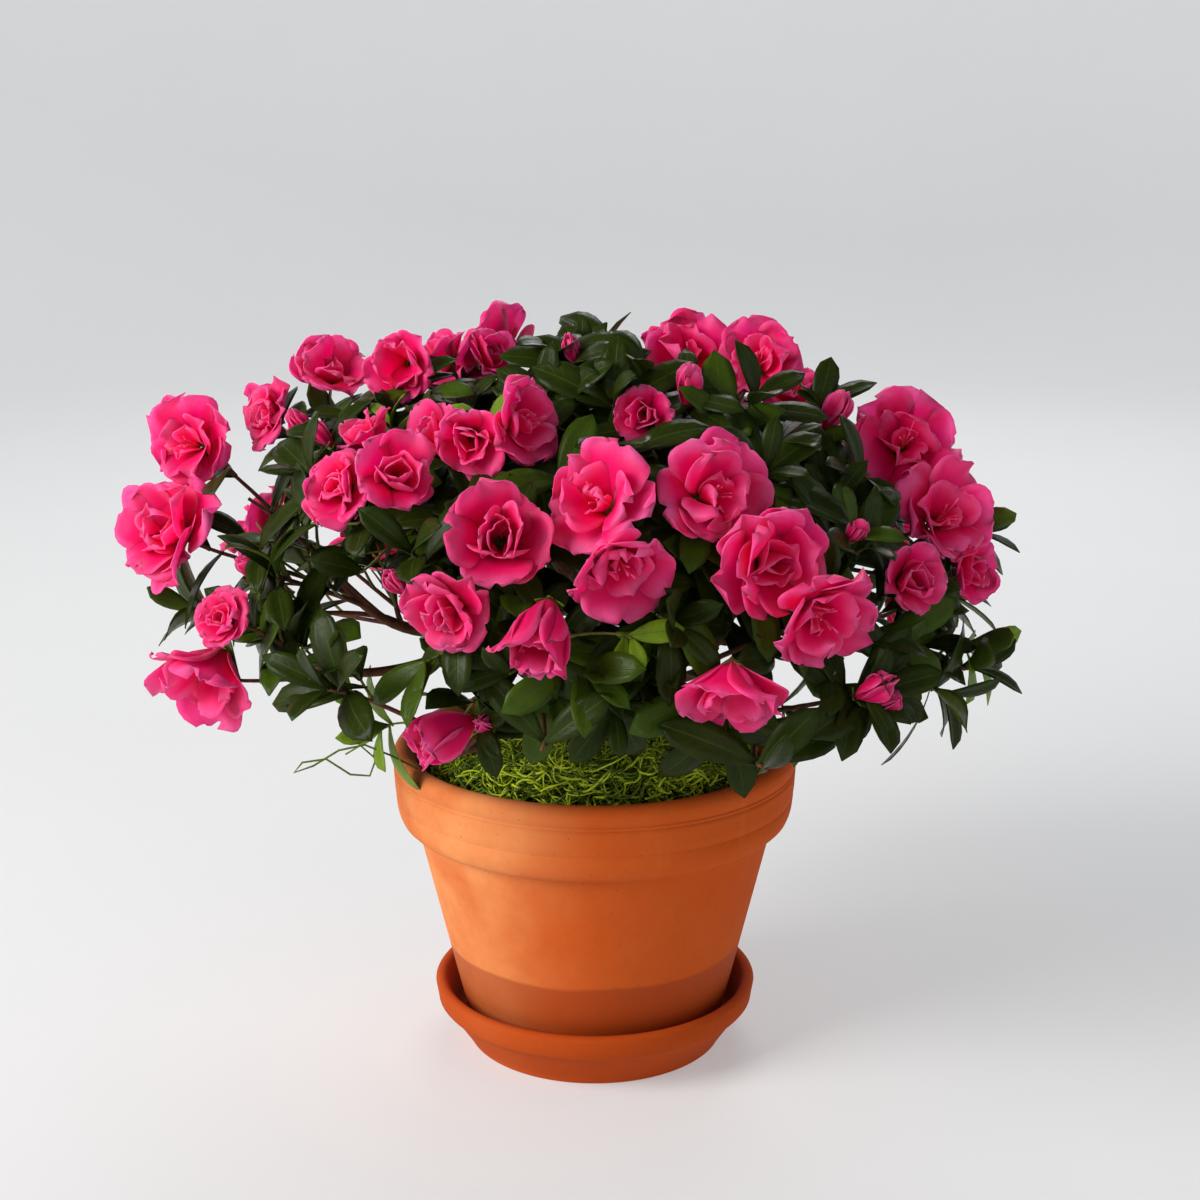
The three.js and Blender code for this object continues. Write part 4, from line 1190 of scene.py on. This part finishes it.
class AZALEA_OT_stage(bpy.types.Operator):
    """Camera, floor and soft lights"""
    bl_idname = "azalea.stage"
    bl_label = "Stage"

    def execute(self, context):
        scene = context.scene
        lens = bpy.data.cameras.new("camera")
        lens.sensor_width = SENSOR
        lens.lens = SENSOR * FOCAL_PX / FRAME_PX
        scene.camera = linked("camera", lens)
        scene.camera.location = CAMERA_AT
        scene.camera.rotation_euler = (math.radians(90 - PITCH), 0, math.radians(YAW))
        bm = spun(SWEEP, SWEEP_STEPS, 1.0)
        bmesh.ops.reverse_faces(bm, faces=bm.faces)
        pale = bpy.data.materials.new("floor")
        pale.use_nodes = True
        tree = pale.node_tree
        surface = tree.nodes["Principled BSDF"].inputs
        tone = mixed(tree, cloud(tree, on_object(tree), 3.0), (0.5, 0.5, 0.505, 1), (0.54, 0.54, 0.54, 1))
        join(tree, surface["Base Color"], tone)
        surface["Roughness"].default_value = 0.8
        surface["Emission Color"].default_value = (0.96, 0.98, 1.0, 1)
        surface["Emission Strength"].default_value = 0.31
        piece_from(bm, "floor", pale)
        scene.world = bpy.data.worlds.new("studio")
        scene.world.use_nodes = True
        glow = scene.world.node_tree.nodes["Background"].inputs
        glow["Color"].default_value = (0.97, 0.98, 1.0, 1)
        glow["Strength"].default_value = 0.17
        for name, size, power, spot, tint in LIGHTS:
            light = bpy.data.lights.new(name, "AREA")
            light.size = size
            light.energy = power
            light.color = tint
            lamp = linked(name, light)
            lamp.location = spot
            lamp.rotation_euler = (LIGHTS_AIM - Vector(spot)).to_track_quat("-Z", "Y").to_euler()
        scene.view_settings.view_transform = "Standard"
        return {"FINISHED"}


class AZALEA_OT_clay(bpy.types.Operator):
    """The clay pot, with its rim band and fine grooves, and the saucer that it stands in"""
    bl_idname = "azalea.clay"
    bl_label = "Pot and saucer"

    def execute(self, context):
        paint = colours()
        # The chalk amount also sets how strongly the painted light pales the left side of the clay.
        pot = {"Clay": paint.clay, "Chalk": paint.chalk, "Damp": paint.damp,
               "Tide Height": sizes().tide_height, "Chalk And Painted Light Amount": 0.95}
        saucer = {"Clay": mix_of(paint.clay, paint.damp, 0.45), "Chalk": mix_of(paint.clay, paint.chalk, 0.3),
                  "Damp": paint.damp, "Tide Height": -0.1, "Chalk And Painted Light Amount": 0.3}
        for node, profile, values in (("pot", pot_profile(), pot), ("saucer", saucer_profile(), saucer)):
            clay = material_with(f"clay of the {node}", clay_surface, values, 0.35, 0.25,
                                 specular_ior_level=0.14)
            finish_piece(piece_from(spun(profile, sizes().round_steps), f"clay_{node}", clay), node, node)
        return {"FINISHED"}


def groove(radius, height, depth, half):
    """A fine round-bottomed line cut into a wall at a height."""
    return [(radius, height - half), (radius - depth * 0.8, height - half * 0.4), (radius - depth, height),
            (radius - depth * 0.8, height + half * 0.4), (radius, height + half)]


def pot_inside(height):
    """Radius of the pot's inner wall at a height."""
    low = POT["stands"] + POT["floor"]
    if height < POT["band"]:
        return np.interp(height, (low, POT["band"]), (POT["base"] - POT["wall"], POT["waist"] - POT["wall"]))
    return np.interp(height, (POT["band"], POT["lip"] - 4), (POT["waist"] - POT["wall"], POT["rim"] - 9))


def pot_profile():
    """Outside first and upwards: foot, tapering wall, rim band with a seam and two grooves, round lip."""
    stands, base, waist, rim, band, lip = (POT[k] for k in ("stands", "base", "waist", "rim", "band", "lip"))
    inside = stands + POT["floor"]
    wall = [(base + (waist - base) * k / 8, stands + 2 + (band - 3 - stands) * k / 8)
            for k in range(1, 8)]
    return ([(POT["drain"], stands), (base - 2, stands)] + arc((base - 2, stands + 2), 2, -60, 0, 3)
            + wall
            + [(waist, band - 0.6), (waist + 0.3, band + 0.4)]
            + [(rim - 7.2, band + 0.9), (rim - 5.0, band + 1.9), (rim - 3.3, band + 3.6),
               (rim - 2.2, band + 6.2), (rim - 1.5, band + 9)]
            + groove(rim - 0.9, band + 15, 0.3, 0.6)
            + [(rim - 0.4, band + 20), (rim - 0.1, lip - 13.5)]
            + groove(rim, lip - 11.2, 0.5, 0.5) + groove(rim + 0.1, lip - 9.2, 0.5, 0.5)
            + arc((rim - 4.9, lip - 5.2), 5.2, 0, 180, 14)[1:]
            + [(pot_inside(height), height) for height in (lip - 12, band, inside + 3)]
            + [(pot_inside(inside) - 3, inside), (POT["drain"], inside)])


def saucer_profile():
    """From the middle of the underside outwards, up the flared wall to the round rim, and back inside."""
    foot, shoulder, rim, inner, floor, step, height = (
        SAUCER[k] for k in ("foot", "shoulder", "rim", "inner", "floor", "step", "height"))
    edge = (rim + inner) / 2 + 1.0
    return ([(0, 0), (foot - 1.5, 0)] + arc((foot - 1.5, 1.5), 1.5, -60, 0, 3)
            + [(foot + (shoulder - foot) * k / 5, 1.5 + (step - 3) * k / 5) for k in range(1, 6)]
            + [(shoulder + 1.4, step - 0.9), (rim - 0.7, step - 0.1), (rim + 0.3, step + 1.2)]
            + [(rim + 0.8, step + 5)]
            + arc((edge, height - 3.1), 3.1, 12, 168, 10)
            + [(inner - 0.9, height - 6), (inner - 4, floor + 5), (inner - 5.6, floor + 1.6),
               (POT["base"] + 2.5, floor), (0, floor)])


PEAT_STEPS, PEAT_RINGS, PEAT_RISE = 110, 22, 12      # the peat rises over the outer rings


class AZALEA_OT_peat(bpy.types.Operator):
    """The lumpy peat that fills the pot"""
    bl_idname = "azalea.peat"
    bl_label = "Peat"

    def execute(self, context):
        stuff = grain("peat", colours().peat, 2.4, 0.5, 320.0, 0.9, 1.5)
        low = POT["stands"] + POT["floor"] + GAP
        edge = pot_inside(SOIL["edge"]) - GAP
        rings = [(edge * (1 - k / PEAT_RINGS), between(SOIL["edge"], SOIL["top"], min(1, k / PEAT_RISE)))
                 for k in range(PEAT_RINGS + 1)]
        profile = [(0, low), (pot_inside(low) - 4, low), (pot_inside(low + 4) - GAP, low + 4),
                   (pot_inside(POT["band"]) - GAP, POT["band"])] + rings
        peat = piece_from(spun(profile, PEAT_STEPS), "peat", stuff)
        for vertex in peat.data.vertices:
            level = math.hypot(vertex.co.x, vertex.co.y) / MM
            if vertex.co.z > (SOIL["edge"] - 0.5) * MM and level < edge - 1:
                lumps = noise.fractal(vertex.co * 120, 0.9, 2.1, 4)
                vertex.co.z += MM * min(0.2, max(-3.0, 1.6 * lumps - 0.8))
        finish_piece(peat, "soil", "soil")
        return {"FINISHED"}


class AZALEA_OT_moss(bpy.types.Operator):
    """Curled strands of moss over the peat"""
    bl_idname = "azalea.moss"
    bl_label = "Moss"

    def execute(self, context):
        paint = colours()
        light = grain("moss", paint.moss, 1.15, 0.6, 260.0, 0.3, 0.2)
        deep = grain("deep moss", paint.moss_deep, 1, 0.5, 260.0, 0.3, 0.2)
        rng = np.random.default_rng(7)
        lines = [moss_strand(rng) for _ in range(MOSS["strands"])]
        radii = [(0.34 + 0.34 * rng.random()) * np.linspace(1, 0.6, MOSS["points"]) for _ in lines]
        lines.append(np.array(STRAY_STRAND, float))
        radii.append(np.full(len(STRAY_STRAND), 0.5))
        older = rng.random(len(lines)) < MOSS["older"]
        for name, stuff, chosen in (("curled_moss", light, ~older), ("older_moss", deep, older)):
            picked = np.flatnonzero(chosen)
            piece = strands(name, [lines[i] for i in picked], [radii[i] for i in picked], 1, stuff)
            finish_piece(piece, "moss", "moss")
        return {"FINISHED"}


def bent_tube(bm, path, radius_at, sides, rings):
    """A capped tube, bent along a path."""
    before = len(bm.verts)
    bmesh.ops.create_cone(bm, cap_ends=True, segments=sides, radius1=1, radius2=1, depth=1)
    bm.verts.ensure_lookup_table()
    edges = {edge for v in bm.verts[before:] for edge in v.link_edges}
    tall = [edge for edge in edges if abs(edge.verts[0].co.z - edge.verts[1].co.z) > 0.5]
    bmesh.ops.subdivide_edges(bm, edges=tall, cuts=rings - 1, use_grid_fill=True)
    bm.verts.ensure_lookup_table()
    shares = [k / rings for k in range(rings + 1)]
    points, _, sides_at, ups = path.frames(shares)
    for v in bm.verts[before:]:
        k = round((v.co.z + 0.5) * rings)
        radius = radius_at(shares[k])
        v.co = Vector((points[k] + sides_at[k] * v.co.x * radius + ups[k] * v.co.y * radius) * MM)


BARK_SIDES, BARK_RING = 12, 5      # sides of a limb, and the millimetres between its rings
RIDGES_ACROSS, RIDGES_ALONG, KNOTS = 420, 170, 60      # how close the bark's forms lie


class AZALEA_OT_bark(bpy.types.Operator):
    """The stem and its boughs as one mesh with the bark's relief"""
    bl_idname = "azalea.bark"
    bl_label = "Bark"

    def execute(self, context):
        wood = grain("bark", colours().bark, 1, 0.32, 150.0, 0.8, 0.8, (1, 1, 0.4))
        bm = bmesh.new()
        for path, radius_at in plant().limbs.values():
            bent_tube(bm, path, radius_at, BARK_SIDES, max(8, round(path.length / BARK_RING)))
        rough = piece_from(bm, "bark_rough", wood)
        shell = rough.modifiers.new("joined", "REMESH")
        shell.mode = "VOXEL"
        shell.voxel_size = sizes().bark_voxel * MM
        bm = bmesh.new()
        bm.from_mesh(evaluated(rough))
        bmesh.ops.smooth_vert(bm, verts=bm.verts, factor=0.5, use_axis_x=True, use_axis_y=True,
                              use_axis_z=True)
        bm.normal_update()
        for v in bm.verts:
            drawn = Vector((v.co.x * RIDGES_ACROSS, v.co.y * RIDGES_ACROSS, v.co.z * RIDGES_ALONG))
            ridges = noise.ridged_multi_fractal(drawn, 1, 2, 3, 1, 2)
            knots = noise.fractal(v.co * KNOTS, 1, 2, 2)
            v.co += v.normal * MM * (0.28 * (ridges - 1.2) + 0.5 * knots)
        boughs = [f"bough_{mass[0]}" for mass in MASSES]
        finish_piece(piece_from(bm, "bark", wood), "bark", "stem", *boughs)
        return {"FINISHED"}


def tapered(path, start, count, thick, slim):
    """Points along a path, and radii that go from thick to slim."""
    line = np.array([path.along(share) for share in np.linspace(start, 1, count)])
    return line, np.linspace(thick, slim, count)


class AZALEA_OT_twigs(bpy.types.Operator):
    """Woody twigs and this year's finer ones"""
    bl_idname = "azalea.twigs"
    bl_label = "Twigs"

    def execute(self, context):
        paint = colours()
        woody = []
        for plan in plant().masses:
            woody.append(tapered(plan["stem"], -0.02, 12, TWIG["stem"], TWIG["stem_tip"]))
            woody += [tapered(path, 0, 11, TWIG["thick"], TWIG["slim"]) for path, _ in plan["twigs"]]
        fine = [tapered(path, 0, 9, FINE["thick"], FINE["slim"]) for path, _ in plant().fine + plant().sprays]
        brown = grain("twig bark", paint.twig, 1, 0.4, 260.0, 0.5, 0.4)
        green = grain("green twig", paint.green_twig, 1, 0.5, 260.0, 0.3, 0.3)
        finish_piece(strands("woody_twigs", *zip(*woody), 2, brown), "bark")
        finish_piece(strands("fine_twigs", *zip(*fine), 1, green), "foliage")
        return {"FINISHED"}


class AZALEA_OT_leaves(bpy.types.Operator):
    """Whorls of leaves, dealt their shade by the spray"""
    bl_idname = "azalea.leaves"
    bl_label = "Leaves"

    def execute(self, context):
        paint = colours()
        back = leaf_material("leaf back", paint.leaf_back, scaled(paint.leaf_back, 1.4), 0.3)
        blades = grow_leaves()
        foliage = [f"foliage_{mass[0]}" for mass in MASSES]
        tints = ((paint.leaf_deep, 0.12), (paint.leaf_mid, 0.2), (paint.leaf_young, 0.3))
        for shade, (name, (green, veins)) in enumerate(zip(SHADES, tints)):
            face = leaf_material(f"{name} leaf", green, mix_of(green, paint.leaf_back, 0.6), veins)
            nodes = foliage if shade == SHADE_DEEP else ()
            sheets(f"leaves_{name}", blades, shade, [face, back], sizes().leaf_thickness, *nodes)
        return {"FINISHED"}


class AZALEA_OT_flowers(bpy.types.Operator):
    """Flowers and buds, dealt their shade by the flower, as painted light and shade on some masses, and their
    sepals
    """
    bl_idname = "azalea.flowers"
    bl_label = "Flowers"

    def execute(self, context):
        paint = colours()
        blossom, sepals = grow_flowers()
        # Painted light: the same petal colours scaled, lighter for flowers in the light and darker for those
        # in shade.
        for shade, (name, factor) in enumerate((("rose", 1.03), ("bright", 1.1), ("deep", 0.92))):
            tints = {"Petal": scaled(paint.petal, factor), "Throat": scaled(paint.throat, factor),
                     "Edge": scaled(paint.petal_pale, factor)}
            petal = material_with(f"{name} petal", petal_surface, tints, 0.3, 0.3, subsurface_weight=0.6,
                                  subsurface_scale=0.004, subsurface_radius=(1.0, 0.3, 0.55),
                                  specular_ior_level=0.15, sheen_weight=0.03, sheen_roughness=0.4)
            sheets(f"petals_{name}", blossom, shade, [petal], sizes().petal_thickness)
        green = leaf_material("sepal", mix_of(paint.leaf_young, paint.leaf_mid, 0.3), paint.leaf_back, 0.2)
        sheets("sepals", sepals, SHADE_YOUNG, [green], sizes().leaf_thickness)
        threads = {"Light": paint.petal_pale, "Dark": paint.throat, "Scale": 400.0}
        thread = material_with("stamen", grain_surface, threads, 0.2, 0.2)
        shares = np.linspace(0, 1, len(THREAD_RADII))
        lines = [np.array([path.along(share) for share in shares]) for path in blossom.threads]
        finish_piece(strands("stamens", lines, [THREAD_RADII] * len(lines), 1, thread), "foliage")
        return {"FINISHED"}


class AZALEA_PT_sidebar(bpy.types.Panel):
    """Lists the sizes, the colours and the makers of each piece"""
    bl_idname = "AZALEA_PT_sidebar"
    bl_label = "Azalea"
    bl_space_type = "VIEW_3D"
    bl_region_type = "UI"
    bl_category = "Azalea"

    def draw(self, context):
        for group in (context.scene.azalea_sizes, context.scene.azalea_colours):
            box = self.layout.box()
            for key in group.__annotations__:
                box.prop(group, key)
        for maker in MAKERS:
            self.layout.operator(maker.bl_idname)


MAKERS = (AZALEA_OT_stage, AZALEA_OT_clay, AZALEA_OT_peat, AZALEA_OT_moss, AZALEA_OT_bark, AZALEA_OT_twigs,
          AZALEA_OT_leaves, AZALEA_OT_flowers)
CLASSES = (AZALEA_PG_sizes, AZALEA_PG_colours, *MAKERS, AZALEA_PT_sidebar)


def register():
    for cls in CLASSES:
        bpy.utils.register_class(cls)
    bpy.types.Scene.azalea_sizes = PointerProperty(type=AZALEA_PG_sizes)
    bpy.types.Scene.azalea_colours = PointerProperty(type=AZALEA_PG_colours)


def unregister():
    del bpy.types.Scene.azalea_sizes
    del bpy.types.Scene.azalea_colours
    for cls in reversed(CLASSES):
        bpy.utils.unregister_class(cls)


def main():
    register()
    bpy.ops.azalea.stage()
    bpy.ops.azalea.clay()
    bpy.ops.azalea.peat()
    bpy.ops.azalea.moss()
    bpy.ops.azalea.bark()
    bpy.ops.azalea.twigs()
    bpy.ops.azalea.leaves()
    bpy.ops.azalea.flowers()
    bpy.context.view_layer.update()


if __name__ == "__main__":
    main()
